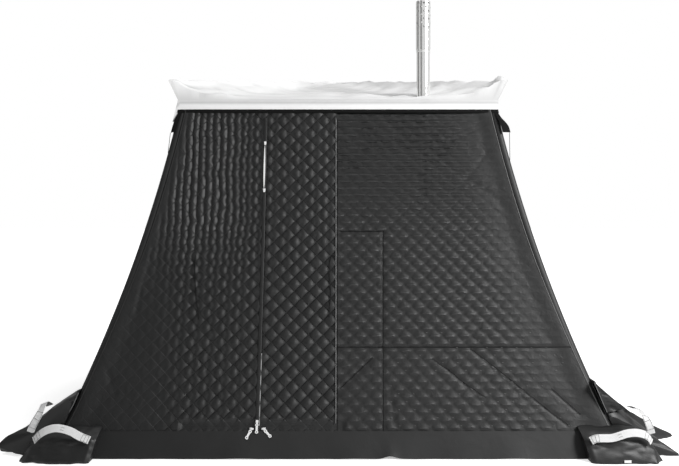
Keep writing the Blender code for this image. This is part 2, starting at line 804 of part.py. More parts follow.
def flue_cutter(name, radius):
    """An upright cylinder on the flue's axis, for the holes that the flue passes through."""
    foot = Vector((FLUE_X, FLUE_Y, HEM_HEIGHT - JACK_WIDTH))
    head = Vector((FLUE_X, FLUE_Y, FLY_HUB_HEIGHT + JACK_WIDTH))
    return add_cutter(name, rod_mesh(name, foot, head, radius, ROUND_SIDES))


def make_fly():
    """Roof fly: a white sheet over the frame, its four corners pushed up into ears by the knuckles."""
    hem_half = edge_half_width(HEM_HEIGHT) + COVER_GAP + HEM_BAND_THICKNESS
    eave_half = hem_half - FLY_EAVE_INSET
    rings = [
        level_ring(hem_half, HEM_HEIGHT + GAP),
        level_ring(hem_half, FLY_FOLD_HEIGHT),
        fly_ring(eave_half, FLY_EAVE_HEIGHT, 1.0),
    ]
    rings += [fly_ring(eave_half, FLY_EAVE_HEIGHT, share) for share in FLY_RING_SHARES]
    rings.append(level_ring(FLY_PEAK_HALF, FLY_HUB_HEIGHT))
    fly = add_part("roof_fly", sheet_from_rings(rings, "roof_fly"), "fly_white")
    solidify(fly, FLY_THICKNESS)
    cut(fly, flue_cutter("fly_flue_hole", FLY_FLUE_HOLE_RADIUS))


def tie_strap_points(sign_x, sign_y):
    """Foot of a tie-down strap: its middle, where the cord leaves it."""
    height = HEM_HEIGHT - HEM_BAND_HEIGHT / 2 - TIE_STRAP_DROP
    half = edge_half_width(height) + TIE_STRAP_REACH / math.sqrt(2)
    return Vector((sign_x * half, sign_y * half, height))


def make_hem_band():
    """Hem band: black webbing round the fly's hem, with a tie-down strap sewn on at each corner."""
    top = HEM_HEIGHT
    low = HEM_HEIGHT - HEM_BAND_HEIGHT
    inner_half = {z: edge_half_width(z) + COVER_GAP for z in (low, top)}
    outer_half = {z: inner_half[z] + HEM_BAND_THICKNESS for z in (low, top)}
    rings = [square_ring(outer_half[low], low), square_ring(outer_half[top], top),
             square_ring(inner_half[top], top), square_ring(inner_half[low], low)]
    band = add_part("fly_hem_band", loft(rings, "fly_hem_band", closed=True), "webbing_black")
    for name, sign_x, sign_y in CORNERS:
        out = Vector((sign_x, sign_y, 0.0)).normalized()
        side = Vector((-out.y, out.x, 0.0))
        head_height = HEM_HEIGHT - HEM_BAND_HEIGHT / 2
        head_half = edge_half_width(head_height) + COVER_GAP + HEM_BAND_THICKNESS / 2
        head = Vector((sign_x * head_half, sign_y * head_half, head_height))
        foot = tie_strap_points(sign_x, sign_y)
        run = (foot - head).normalized()
        across = run.cross(side).normalized()
        rings = []
        for centre, width in ((head, TIE_STRAP_HEAD_WIDTH), (foot, TIE_STRAP_FOOT_WIDTH)):
            half = side * width / 2
            thick = across * TIE_STRAP_THICKNESS / 2
            rings.append([centre - half - thick, centre + half - thick,
                          centre + half + thick, centre - half + thick])
        strap = add_cutter("tie_strap_" + name, loft(rings, "tie_strap_" + name))
        join(band, strap)


def make_ceiling():
    """Ceiling panel: a low quilted pyramid that rests on the tops of the walls."""
    half = edge_half_width(HEM_HEIGHT) - CEILING_EDGE_MARGIN
    foot = HEM_HEIGHT - LEAF_END_GAP - CEILING_BEDDING + CEILING_THICKNESS
    slope = CEILING_RISE / half
    rings = [square_ring(half, foot)]
    rings += [square_ring(half * share, foot + slope * half * (1 - share)) for share in CEILING_RING_SHARES]
    ceiling = add_part("ceiling_panel", sheet_from_rings(rings, "ceiling_panel"), "quilt_black")
    solidify(ceiling, CEILING_THICKNESS)
    cut(ceiling, flue_cutter("ceiling_flue_hole", CEILING_FLUE_HOLE_RADIUS))
    place = pole_centre(HEM_HEIGHT)
    for name, sign_x, sign_y in CORNERS:
        low = Vector((sign_x * place, sign_y * place, HEM_HEIGHT - CEILING_RISE))
        high = Vector((sign_x * place, sign_y * place, HEM_HEIGHT + CEILING_RISE))
        notch = rod_mesh("pole_notch_" + name, low, high, CEILING_CORNER_NOTCH)
        cut(ceiling, add_cutter("pole_notch_" + name, notch))
    return half, foot, slope


def make_stove_jack(half, foot, slope):
    """Stove jack: a heat-proof square on the ceiling that fits closely round the flue."""
    tilt = math.atan(slope)
    height = foot + slope * (half + FLUE_Y)
    lift = (JACK_THICKNESS / 2 + JACK_SLOPE_CLEARANCE) / math.cos(tilt)
    turn = Matrix.Rotation(tilt, 4, "X")
    centre = Vector((FLUE_X, FLUE_Y, height + lift))
    size = (JACK_WIDTH, JACK_WIDTH * JACK_DEPTH_SHARE, JACK_THICKNESS)
    jack = add_part("stove_jack", box_mesh("stove_jack", size, centre, turn), "jack_grey")
    cut(jack, flue_cutter("jack_flue_hole", FLUE_RADIUS + FLUE_BEAD / 2))


# Door

def make_leaf(name, left, right):
    """A door leaf: a quilted panel on the wall's curve between two x values."""
    mesh = wall_grid(name, [straight(left), straight(right)], door_heights(), WALL_RECESS)
    leaf = add_part(name, mesh, "quilt_black")
    solidify(leaf, WALL_THICKNESS)
    return leaf


def make_door():
    """Two door leaves that meet at the upright zip; the left one carries the zip's cover strip."""
    left = make_leaf("door_leaf_left", HINGE_LEFT_X, ZIP_X - LEAF_MEETING_GAP / 2)
    strip_mesh = wall_grid(
        "zip_strip", [straight(ZIP_X - ZIP_STRIP_WIDTH), straight(ZIP_X)], door_heights(),
        WALL_RECESS - ZIP_STRIP_PROUD)
    strip = add_cutter("zip_strip", strip_mesh)
    solidify(strip, ZIP_STRIP_PROUD + ZIP_STRIP_SUNK)
    join(left, strip)
    seat(left, front_point(HINGE_LEFT_X, DOOR_FOOT_HEIGHT, WALL_RECESS))
    right = make_leaf("door_leaf_right", ZIP_X + LEAF_MEETING_GAP / 2, HINGE_RIGHT_X)
    seat(right, front_point(HINGE_RIGHT_X, DOOR_FOOT_HEIGHT, WALL_RECESS))
    bpy.context.view_layer.update()
    return left, right


def wall_frame(x, height, inset, lean_deg=0.0):
    """Placement on the front wall: X across, Y up the wall and Z out of it, turned by a lean."""
    out = front_normal(height)
    up = out.cross(Vector((1.0, 0.0, 0.0)))
    turn = Matrix((Vector((1.0, 0.0, 0.0)), up, out)).transposed().to_4x4()
    lean = Matrix.Rotation(math.radians(lean_deg), 4, "Z")
    return Matrix.Translation(front_point(x, height, inset)) @ turn @ lean


def circle_points(x, y, radius, start_deg, end_deg, count):
    """Points on a circle's arc, in a flat outline."""
    angles = [math.radians(value) for value in spread(start_deg, end_deg, count)]
    return [(x + radius * math.cos(angle), y + radius * math.sin(angle)) for angle in angles]


def slider_outline():
    """A zip slider's plan: square nose, tapered tail."""
    half = SLIDER_WIDTH / 2
    tail = half * SLIDER_TAIL_SHARE
    length = SLIDER_LENGTH / 2
    return [(-half, 0.0), (-half, length), (half, length), (half, 0.0), (tail, -length), (-tail, -length)]


def slider_body(name, place):
    """The slider's flat body on its zip."""
    middle = place @ Matrix.Translation((0.0, 0.0, SLIDER_THICKNESS / 2))
    body = add_part(name, outline_mesh(name, [slider_outline()], SLIDER_THICKNESS, middle), "zip_white")
    return body


def make_vent_slider(name, height, parent):
    """A small slider with a fixed tab, at one end of the zip's upper slit."""
    place = wall_frame(ZIP_X - ZIP_STRIP_WIDTH / 2, height,
                       WALL_RECESS - ZIP_STRIP_PROUD - RUNNING_GAP)
    slider = slider_body(name, place)
    centre = place @ Vector((0.0, 0.0, SLIDER_THICKNESS + TAB_THICKNESS / 2 - GAP))
    turn = place.to_3x3().to_4x4()
    tab = box_mesh(name + "_tab", (TAB_WIDTH, TAB_LENGTH, TAB_THICKNESS), centre, turn)
    join(slider, add_cutter(name + "_tab", tab))
    seat(slider, place.translation, parent)


def make_slider(name, place, travel_turn_deg, parent):
    """A slider with two ears and a pin for its pull; the body is turned to its direction of travel."""
    travel = place @ Matrix.Rotation(math.radians(travel_turn_deg), 4, "Z")
    slider = slider_body(name, travel)
    turn = place.to_3x3().to_4x4()
    size = (EAR_WIDTH, EAR_LENGTH, EAR_HEIGHT + GAP)
    for label, side in (("_ear_a", -1), ("_ear_b", 1)):
        centre = place @ Vector((side * (EAR_INNER_HALF + EAR_WIDTH / 2), 0.0,
                                 SLIDER_THICKNESS + EAR_HEIGHT / 2 - GAP / 2))
        join(slider, add_cutter(name + label, box_mesh(name + label, size, centre, turn)))
    reach = EAR_INNER_HALF + EAR_WIDTH / 2
    start = place @ Vector((-reach, 0.0, PULL_PIN_HEIGHT))
    end = place @ Vector((reach, 0.0, PULL_PIN_HEIGHT))
    join(slider, add_cutter(name + "_pin", rod_mesh(name + "_pin", start, end, PULL_PIN_RADIUS, FINE_SIDES)))
    seat(slider, place.translation, parent)
    return slider


def pull_outlines():
    """A pull's plan: a tongue, two round lobes joined by a waist, and a hole in each lobe."""
    upper = -(PULL_TONGUE_LENGTH + PULL_LOBE_RADIUS)
    lower = -(PULL_LENGTH - PULL_LOBE_RADIUS)
    top = PULL_THICKNESS / 2
    waist = math.degrees(math.asin(PULL_WAIST_HALF / PULL_LOBE_RADIUS))
    neck = math.degrees(math.asin(PULL_TONGUE_HALF / PULL_LOBE_RADIUS))
    outline = [(PULL_TONGUE_HALF, top), (-PULL_TONGUE_HALF, top)]
    outline += circle_points(0.0, upper, PULL_LOBE_RADIUS, 90 + neck, 270 - waist, PULL_ARC_POINTS)
    outline += circle_points(0.0, lower, PULL_LOBE_RADIUS, 90 + waist, 450 - waist, PULL_ARC_POINTS * 2)
    outline += circle_points(0.0, upper, PULL_LOBE_RADIUS, waist - 90, 90 - neck, PULL_ARC_POINTS)
    step = 360 / FINE_SIDES
    holes = [circle_points(0.0, y, PULL_HOLE_RADIUS, 0.0, 360 - step, FINE_SIDES) for y in (upper, lower)]
    return [outline] + holes


def make_pull(name, place, parent):
    """A bone-shaped pull that hangs from its slider's pin."""
    axis = place @ Matrix.Translation((0.0, 0.0, PULL_PIN_HEIGHT))
    pull = add_part(name, outline_mesh(name, pull_outlines(), PULL_THICKNESS, axis), "zip_white")
    reach = PULL_TONGUE_HALF + CUT_OVERRUN
    bore = rod_mesh(name + "_bore", axis @ Vector((-reach, 0.0, 0.0)), axis @ Vector((reach, 0.0, 0.0)),
                    PULL_PIN_BORE_RADIUS, FINE_SIDES)
    cut(pull, add_cutter(name + "_bore", bore))
    seat(pull, axis.translation, parent)
    return pull


def make_zip_hardware(left_leaf):
    """All sliders and pulls of the door's upright zip and of the zip along its sill."""
    on_strip = WALL_RECESS - ZIP_STRIP_PROUD - RUNNING_GAP
    main = wall_frame(ZIP_X - ZIP_STRIP_WIDTH / 2, MAIN_SLIDER_HEIGHT, on_strip)
    slider = make_slider("zip_slider_upright", main, 0.0, left_leaf)
    make_pull("zip_pull_upright", main, slider)
    on_wall = WALL_RECESS - RUNNING_GAP
    for side, x, lean, travel in (("left", SILL_SLIDER_LEFT_X, PULL_LEAN_LEFT_DEG, 90.0),
                                  ("right", SILL_SLIDER_RIGHT_X, PULL_LEAN_RIGHT_DEG, -90.0)):
        place = wall_frame(x, SILL_SLIDER_HEIGHT, on_wall, lean)
        sill = make_slider("sill_slider_" + side, place, travel - lean, None)
        bpy.context.view_layer.update()
        make_pull("sill_pull_" + side, place, sill)
    make_vent_slider("vent_slider_upper", VENT_SLIDER_TOP_HEIGHT, left_leaf)
    make_vent_slider("vent_slider_lower", VENT_SLIDER_FOOT_HEIGHT, left_leaf)


def make_tie_back(name, route, parent):
    """A thin cord sewn to a leaf's hinge seam, for tying the rolled leaf back."""
    inset = WALL_RECESS - RUNNING_GAP - TIE_BACK_RADIUS
    path = smooth_run([front_point(x, height, inset) for x, height in route], TIE_BACK_POINTS)
    cord = add_part(name, tube_mesh(name, path, TIE_BACK_RADIUS), "cord_black")
    shade_round(cord)
    seat(cord, path[0], parent)


def make_tie_cords():
    """Fly tie cords: taut between each corner strap's foot and its corner sleeve."""
    for name, sign_x, sign_y in CORNERS:
        out = Vector((sign_x, sign_y, 0.0)).normalized()
        head = tie_strap_points(sign_x, sign_y)
        half = edge_half_width(TIE_CORD_FOOT_HEIGHT) - SLEEVE_CHAMFER / 2
        foot = corner_point(half, sign_x, sign_y, TIE_CORD_FOOT_HEIGHT) + out * (TIE_CORD_RADIUS + COVER_GAP)
        start = head + (foot - head).normalized() * TIE_CORD_START_GAP
        path = [start.lerp(foot, share) for share in spread(0.0, 1.0, TIE_CORD_POINTS)]
        part_name = "fly_tie_cord_" + name
        cord = add_part(part_name, tube_mesh(part_name, path, TIE_CORD_RADIUS), "cord_black")
        shade_round(cord)


# Frame

def corner_point(half, sign_x, sign_y, height):
    """A point on a corner's diagonal."""
    return Vector((sign_x * half, sign_y * half, height))


def make_poles():
    """Leg poles: bowed tubes from the ground to the roof frame's sockets, each with a foot."""
    heights = spread(-POLE_FOOT_TRIM, POLE_TOP_HEIGHT, POLE_POINTS)
    half = FOOT_HALF_WIDTH + CUT_OVERRUN
    ground_size = (2 * half, 2 * half, 2 * POLE_FOOT_TRIM)
    ground = add_cutter("ground", box_mesh("ground", ground_size, Vector((0.0, 0.0, -POLE_FOOT_TRIM))))
    for name, sign_x, sign_y in CORNERS:
        part_name = "leg_pole_" + name
        path = [corner_point(pole_centre(z), sign_x, sign_y, z) for z in heights]
        pole = add_part(part_name, tube_mesh(part_name, path, POLE_RADIUS, 2), "pole_steel")
        shade_round(pole)
        foot_top = corner_point(pole_centre(POLE_FOOT_HEIGHT), sign_x, sign_y, POLE_FOOT_HEIGHT)
        foot = rod_mesh(part_name + "_foot", path[0], foot_top, POLE_FOOT_RADIUS)
        join(pole, add_cutter(part_name + "_foot", foot))
        cut(pole, ground)


def make_hub():
    """Roof hub: a moulded disc under the fly's peak, with a slot for each arm."""
    top = FLY_HUB_HEIGHT - FLY_THICKNESS - HUB_BUTTON_CLEARANCE
    profile = [
        (0.0, top), (HUB_BUTTON_RADIUS, top), (HUB_BUTTON_RADIUS, HUB_DISC_HEIGHT),
        (HUB_RADIUS - HUB_RIM_ROUND, HUB_DISC_HEIGHT), (HUB_RADIUS, HUB_DISC_HEIGHT - HUB_RIM_ROUND),
        (HUB_RADIUS, HUB_FOOT_HEIGHT), (0.0, HUB_FOOT_HEIGHT),
    ]
    hub = turned_part("roof_hub", profile, (0.0, 0.0), "frame_plastic")
    low = HUB_FOOT_HEIGHT - CUT_OVERRUN
    inner = ARM_INNER_REACH - ARM_END_CLEARANCE
    length = HUB_RADIUS + CUT_OVERRUN - inner
    for name, sign_x, sign_y in CORNERS:
        out = Vector((sign_x, sign_y, 0.0)).normalized()
        centre = out * (inner + length / 2)
        centre.z = (low + HUB_SLOT_HEAD_HEIGHT) / 2
        turn = out.to_track_quat("X", "Z").to_matrix().to_4x4()
        size = (length, 2 * ARM_SLOT_HALF_WIDTH, HUB_SLOT_HEAD_HEIGHT - low)
        slot = box_mesh("hub_slot_" + name, size, centre, turn)
        cut(hub, add_cutter("hub_slot_" + name, slot))


def make_arms():
    """Roof arms: tubes from the hub to the corner knuckles, whose sockets take the leg poles."""
    for name, sign_x, sign_y in CORNERS:
        part_name = "roof_arm_" + name
        reach = ARM_INNER_REACH / math.sqrt(2)
        inner = corner_point(reach, sign_x, sign_y, ARM_INNER_HEIGHT)
        head = corner_point(KNUCKLE_HALF_WIDTH, sign_x, sign_y, KNUCKLE_HEIGHT)
        arm = add_part(part_name, rod_mesh(part_name, inner, head, ARM_RADIUS), "frame_plastic")
        top_height = POLE_TOP_HEIGHT + SOCKET_HEAD_RISE
        low_height = POLE_TOP_HEIGHT - SOCKET_FOOT_DEPTH
        top = corner_point(pole_centre(top_height), sign_x, sign_y, top_height)
        low = corner_point(pole_centre(low_height), sign_x, sign_y, low_height)
        pole_top = corner_point(pole_centre(POLE_TOP_HEIGHT), sign_x, sign_y, POLE_TOP_HEIGHT)
        run = (top - low).normalized()
        join(arm, add_cutter(part_name + "_head", ball_mesh(part_name + "_head", head, KNUCKLE_HEAD_RADIUS)))
        neck = rod_mesh(part_name + "_neck", pole_top + run * RUNNING_GAP * 2, head, KNUCKLE_NECK_RADIUS)
        join(arm, add_cutter(part_name + "_neck", neck))
        join(arm, add_cutter(part_name + "_socket", rod_mesh(part_name + "_socket", low, top, SOCKET_RADIUS)))
        bore = rod_mesh(part_name + "_bore", low - run * CUT_OVERRUN, pole_top + run * SEAM_GAP, SOCKET_BORE_RADIUS)
        cut(arm, add_cutter(part_name + "_bore", bore))


# Weight bags

def bag_section(height, depth, outline):
    """One cross-section of a bag as (half width, height) points: flat base, back along the skirt."""
    def back(level):
        return edge_half_width(level) + BAG_WALL_CLEARANCE
    points = [(back(0.0), 0.0), (back(height / 2), height / 2), (back(height), height)]
    points += [(back(level * height) + deep * depth, level * height) for deep, level in outline]
    return points


def bag_section_at(share, stations, height, depth, outline):
    """A bag's cross-section at a share of its length, read between two stations."""
    for first, second in zip(stations, stations[1:]):
        if first[0] <= share <= second[0]:
            part = (share - first[0]) / (second[0] - first[0])
            low = bag_section(first[1] * height, first[2] * depth, outline)
            high = bag_section(second[1] * height, second[2] * depth, outline)
            return [Vector(a).lerp(Vector(b), part) for a, b in zip(low, high)]
    return []


def make_bag(name, start, end, sizes, shapes, place):
    """A weight bag and its webbing handle, lofted along X on the front side and then placed."""
    height, depth = sizes
    stations, outline, facet, handle_shares = shapes
    rings = []
    for station in stations:
        x = start + (end - start) * station[0]
        section = bag_section(station[1] * height, station[2] * depth, outline)
        rings.append([place @ Vector((x, -w, z)) for w, z in section])
    add_part("weight_bag_" + name, loft(rings, "weight_bag_" + name), "bag_black")
    rings = []
    for share in handle_shares:
        x = start + (end - start) * share
        section = bag_section_at(share, stations, height, depth, outline)
        upper = section[facet + 3]
        lower = section[facet + 4]
        along = (lower - upper).normalized()
        out = Vector((-along.y, along.x))
        if out.x < 0:
            out = -out
        middle = (upper + lower) / 2
        lift = HANDLE_SEAT if share in (handle_shares[0], handle_shares[-1]) else HANDLE_SLACK
        half = along * HANDLE_WIDTH / 2
        near = middle + out * lift
        far = near + out * HANDLE_THICKNESS
        band = [near - half, near + half, far + half, far - half]
        rings.append([place @ Vector((x, -point.x, point.y)) for point in band])
    add_part("bag_handle_" + name, loft(rings, "bag_handle_" + name), "webbing_silver")


def make_bags():
    """Two weight bags at each corner: an upright one on the front or rear, a lying one at the side."""
    front_shapes = (FRONT_BAG_STATION_SHARES, FRONT_BAG_OUTLINE_SHARES, FRONT_HANDLE_FACET_INDEX, FRONT_HANDLE_SHARES)
    side_shapes = (SIDE_BAG_STATION_SHARES, SIDE_BAG_OUTLINE_SHARES, SIDE_HANDLE_FACET_INDEX, SIDE_HANDLE_SHARES)
    front_sizes = (FRONT_BAG_HEIGHT, FRONT_BAG_DEPTH)
    side_sizes = (SIDE_BAG_HEIGHT, SIDE_BAG_DEPTH)
    still = quarter_turn(0)
    for sign, label in ((-1, "left"), (1, "right")):
        start = sign * FRONT_BAG_INNER_X
        end = sign * (FRONT_BAG_INNER_X + FRONT_BAG_LENGTH)
        make_bag("front_" + label, start, end, front_sizes, front_shapes, still)
        make_bag("rear_" + label, -start, -end, front_sizes, front_shapes, quarter_turn(2))
    for side, label in ((1, "right"), (3, "left")):
        for sign, end_label in ((-1, "front"), (1, "rear")):
            turned = sign if side == 1 else -sign
            outer = turned * SIDE_BAG_OUTER_Y
            inner = turned * (SIDE_BAG_OUTER_Y - SIDE_BAG_LENGTH)
            make_bag(label + "_" + end_label, outer, inner, side_sizes, side_shapes, quarter_turn(side))


# Stove

def firebox_front():
    """Y of the firebox's front face, which looks into the tent."""
    return FLUE_Y - FIREBOX_BACK_OFFSET + FIREBOX_LENGTH


def firebox_top():
    """Height of the firebox's top face."""
    return FIREBOX_LEG_HEIGHT + FIREBOX_HEIGHT


def door_middle_height():
    """Height of the middle of the stove door."""
    return FIREBOX_LEG_HEIGHT + FIREBOX_HEIGHT / 2


def hinge_axis():
    """Place of the stove door's hinge axis, seen from above."""
    return Vector((FLUE_X - STOVE_DOOR_WIDTH / 2 - HINGE_BARREL_OFFSET, firebox_front() + HINGE_STANDOFF))


def latch_pivot():
    """Point on the latch's axis at the latch's back face, clear of the closed door."""
    back = firebox_front() + STOVE_DOOR_GAP + STOVE_DOOR_THICKNESS + LATCH_DOOR_GAP
    return Vector((FLUE_X + STOVE_DOOR_WIDTH / 2 + LATCH_PIVOT_OFFSET, back, door_middle_height()))


def make_firebox():
    """Stove body: a steel box on legs, open at the front, with a flue collar, stone rail and hinge lugs."""
    front = firebox_front()
    back = front - FIREBOX_LENGTH
    middle = Vector((FLUE_X, (front + back) / 2, door_middle_height()))
    size = Vector((FIREBOX_WIDTH, FIREBOX_LENGTH, FIREBOX_HEIGHT))
    box = add_part("stove_firebox", box_mesh("stove_firebox", size, middle), "stove_black")
    bevel(box, FIREBOX_EDGE_ROUND, 2)
    wall = Vector((FIREBOX_WALL, FIREBOX_WALL, FIREBOX_WALL))
    inside = box_mesh("firebox_inside", size - wall * 2, middle)
    cut(box, add_cutter("firebox_inside", inside))
    mouth_size = (STOVE_DOOR_WIDTH - 2 * STOVE_DOOR_LAP, CUT_OVERRUN * 2, STOVE_DOOR_HEIGHT - 2 * STOVE_DOOR_LAP)
    mouth = box_mesh("firebox_mouth", mouth_size, Vector((FLUE_X, front, door_middle_height())))
    cut(box, add_cutter("firebox_mouth", mouth))
    make_collar(box)
    for name, sign_x, sign_y in CORNERS:
        x = FLUE_X + sign_x * (FIREBOX_WIDTH / 2 - FIREBOX_LEG_INSET)
        y = middle.y + sign_y * (FIREBOX_LENGTH / 2 - FIREBOX_LEG_INSET)
        head = FIREBOX_LEG_HEIGHT + FIREBOX_WALL / 2
        leg = rod_mesh("firebox_leg_" + name, (x, y, 0.0), (x, y, head), FIREBOX_LEG_RADIUS, FINE_SIDES)
        join(box, add_cutter("firebox_leg_" + name, leg))
    make_stone_rail(box)
    make_hinge_lugs(box)
    make_latch_post(box)


def make_collar(box):
    """Flue collar: a short pipe on the firebox's top, open into it."""
    outer = FLUE_RADIUS - FLUE_WALL - 2 * GAP
    inner = outer - COLLAR_WALL
    top = firebox_top()
    low = top - FIREBOX_WALL / 2
    collar = rod_mesh("flue_collar", (FLUE_X, FLUE_Y, low), (FLUE_X, FLUE_Y, top + COLLAR_HEIGHT), outer, ROUND_SIDES)
    join(box, add_cutter("flue_collar", collar))
    bore_low = (FLUE_X, FLUE_Y, top - CUT_OVERRUN)
    bore_high = (FLUE_X, FLUE_Y, top + COLLAR_HEIGHT + CUT_OVERRUN)
    cut(box, add_cutter("collar_bore", rod_mesh("collar_bore", bore_low, bore_high, inner, ROUND_SIDES)))


def make_stone_rail(box):
    """Rail round the stones: a bar bent into a rectangle on four short posts."""
    front = firebox_front() - STONE_RAIL_FRONT_INSET
    back = front - STONE_RAIL_LENGTH
    left = FLUE_X - STONE_RAIL_WIDTH / 2
    right = FLUE_X + STONE_RAIL_WIDTH / 2
    level = firebox_top() + STONE_RAIL_HEIGHT
    corners = [(left, back), (right, back), (right, front), (left, front)]
    rail = tube_mesh("stone_rail", [(x, y, level) for x, y in corners], STONE_RAIL_RADIUS, 2, True)
    join(box, add_cutter("stone_rail", rail))
    foot = firebox_top() - FIREBOX_WALL / 2
    head = level - STONE_RAIL_RADIUS / 4
    for index, (x, y) in enumerate(corners):
        inset_x = x + math.copysign(STONE_RAIL_RADIUS * 4, FLUE_X - x)
        label = "stone_post_" + str(index + 1)
        post = rod_mesh(label, (inset_x, y, foot), (inset_x, y, head), STONE_RAIL_RADIUS * 3 / 4, FINE_SIDES)
        join(box, add_cutter(label, post))


def make_hinge_lugs(box):
    """Two lugs on the firebox's front that carry the door's hinge pin."""
    axis = hinge_axis()
    reach = HINGE_BARREL_LENGTH / 2 + SEAM_GAP
    for label, sign in (("lower", -1), ("upper", 1)):
        near = door_middle_height() + sign * reach
        far = near + sign * HINGE_LUG_LENGTH
        name = "hinge_lug_" + label
        lug = rod_mesh(name, (axis.x, axis.y, near), (axis.x, axis.y, far), HINGE_BARREL_RADIUS)
        join(box, add_cutter(name, lug))
        depth = HINGE_STANDOFF + FIREBOX_WALL / 2
        size = (2 * HINGE_LUG_HALF_WIDTH, depth, HINGE_LUG_LENGTH - 2 * SEAM_GAP)
        centre = Vector((axis.x, axis.y - depth / 2, (near + far) / 2))
        join(box, add_cutter(name + "_block", box_mesh(name + "_block", size, centre)))
    low = door_middle_height() - reach - HINGE_LUG_LENGTH / 2
    high = door_middle_height() + reach + HINGE_LUG_LENGTH / 2
    pin = rod_mesh("hinge_pin", (axis.x, axis.y, low), (axis.x, axis.y, high), HINGE_PIN_RADIUS)
    join(box, add_cutter("hinge_pin", pin))


def make_latch_post(box):
    """Post beside the door: a boss, the pin that the latch turns on, and the pin's head."""
    pivot = latch_pivot()
    root = Vector((pivot.x, firebox_front() - FIREBOX_WALL / 2, pivot.z))
    boss_end = pivot - Vector((0.0, LATCH_GAP, 0.0))
    join(box, add_cutter("latch_boss", rod_mesh("latch_boss", root, boss_end, LATCH_BOSS_RADIUS)))
    head_back = pivot + Vector((0.0, LATCH_THICKNESS + LATCH_GAP, 0.0))
    head_front = head_back + Vector((0.0, LATCH_HEAD_THICKNESS, 0.0))
    pin_end = (head_back + head_front) / 2
    join(box, add_cutter("latch_pin", rod_mesh("latch_pin", root, pin_end, LATCH_PIVOT_RADIUS)))
    join(box, add_cutter("latch_pin_head", rod_mesh("latch_pin_head", head_back, head_front, LATCH_HEAD_RADIUS)))


def make_stove_door():
    """Stove door: a plate with a raised rim and a hinge barrel."""
    front = firebox_front()
    low = front + STOVE_DOOR_GAP
    centre = Vector((FLUE_X, low + STOVE_DOOR_THICKNESS / 2, door_middle_height()))
    size = (STOVE_DOOR_WIDTH, STOVE_DOOR_THICKNESS, STOVE_DOOR_HEIGHT)
    door = add_part("stove_door", box_mesh("stove_door", size, centre), "stove_black")
    panel_size = (STOVE_DOOR_WIDTH - 2 * STOVE_DOOR_RIM, STOVE_DOOR_RELIEF + CUT_OVERRUN,
                  STOVE_DOOR_HEIGHT - 2 * STOVE_DOOR_RIM)
    panel_centre = Vector((FLUE_X, low + STOVE_DOOR_THICKNESS - STOVE_DOOR_RELIEF + panel_size[1] / 2,
                           door_middle_height()))
    cut(door, add_cutter("door_relief", box_mesh("door_relief", panel_size, panel_centre)))
    axis = hinge_axis()
    half = HINGE_BARREL_LENGTH / 2
    bottom = (axis.x, axis.y, door_middle_height() - half)
    top = (axis.x, axis.y, door_middle_height() + half)
    join(door, add_cutter("hinge_barrel", rod_mesh("hinge_barrel", bottom, top, HINGE_BARREL_RADIUS)))
    strap_size = (HINGE_BARREL_OFFSET * 2, STOVE_DOOR_THICKNESS / 2, HINGE_BARREL_LENGTH - 2 * SEAM_GAP)
    strap_centre = Vector((axis.x + HINGE_BARREL_OFFSET, low + STOVE_DOOR_THICKNESS / 2, door_middle_height()))
    join(door, add_cutter("hinge_strap", box_mesh("hinge_strap", strap_size, strap_centre)))
    bore_low = (axis.x, axis.y, bottom[2] - CUT_OVERRUN)
    bore_high = (axis.x, axis.y, top[2] + CUT_OVERRUN)
    cut(door, add_cutter("hinge_bore", rod_mesh("hinge_bore", bore_low, bore_high, HINGE_BORE_RADIUS)))
    seat(door, (axis.x, axis.y, door_middle_height()))


def make_latch():
    """Latch: a turn-button on the post, upright and clear of the door at rest."""
    pivot = latch_pivot()
    handle = LATCH_LENGTH - LATCH_TONGUE_LENGTH
    half = LATCH_WIDTH / 2
    outline = circle_points(LATCH_TONGUE_LENGTH - half, 0.0, half, -90.0, 90.0, PULL_ARC_POINTS)
    outline += circle_points(half - handle, 0.0, half, 90.0, 270.0, PULL_ARC_POINTS)
    step = 360 / SMALL_SIDES
    hole = circle_points(0.0, 0.0, LATCH_BORE_RADIUS, 0.0, 360 - step, SMALL_SIDES)
    centre = pivot + Vector((0.0, LATCH_THICKNESS / 2, 0.0))
    turn = Matrix.Rotation(math.radians(90), 4, "X")
    rest = Matrix.Rotation(math.radians(LATCH_REST_DEG), 4, "Z")
    place = Matrix.Translation(centre) @ turn @ rest
    latch = add_part("stove_door_latch", outline_mesh("stove_door_latch", [outline, hole], LATCH_THICKNESS, place),
                     "flue_steel")
    seat(latch, centre)


def make_flue():
    """Flue pipe: sections slipped together, with a raised bead at each joint."""
    foot = firebox_top() + SEAM_GAP
    outer = FLUE_RADIUS
    inner = FLUE_RADIUS - FLUE_WALL
    profile = [(inner, FLUE_TOP_HEIGHT), (outer, FLUE_TOP_HEIGHT)]
    joint = firebox_top() + FLUE_SECTION_LENGTH
    joints = []
    while joint < FLUE_TOP_HEIGHT:
        joints.append(joint)
        joint += FLUE_SECTION_LENGTH
    for level in reversed(joints):
        half = FLUE_BEAD_LENGTH / 2
        profile += [(outer, level + half), (outer + FLUE_BEAD, level + half / 2),
                    (outer + FLUE_BEAD, level - half / 2), (outer, level - half)]
    profile += [(outer, foot), (inner, foot)]
    pipe = turned_part("flue_pipe", profile, (FLUE_X, FLUE_Y), "flue_steel", closed=True)
    reach = FLUE_RADIUS + CUT_OVERRUN
    bore = rod_mesh("damper_bore", (FLUE_X - reach, FLUE_Y, DAMPER_HEIGHT), (FLUE_X + reach, FLUE_Y, DAMPER_HEIGHT),
                    DAMPER_ROD_BORE_RADIUS)
    cut(pipe, add_cutter("damper_bore", bore))


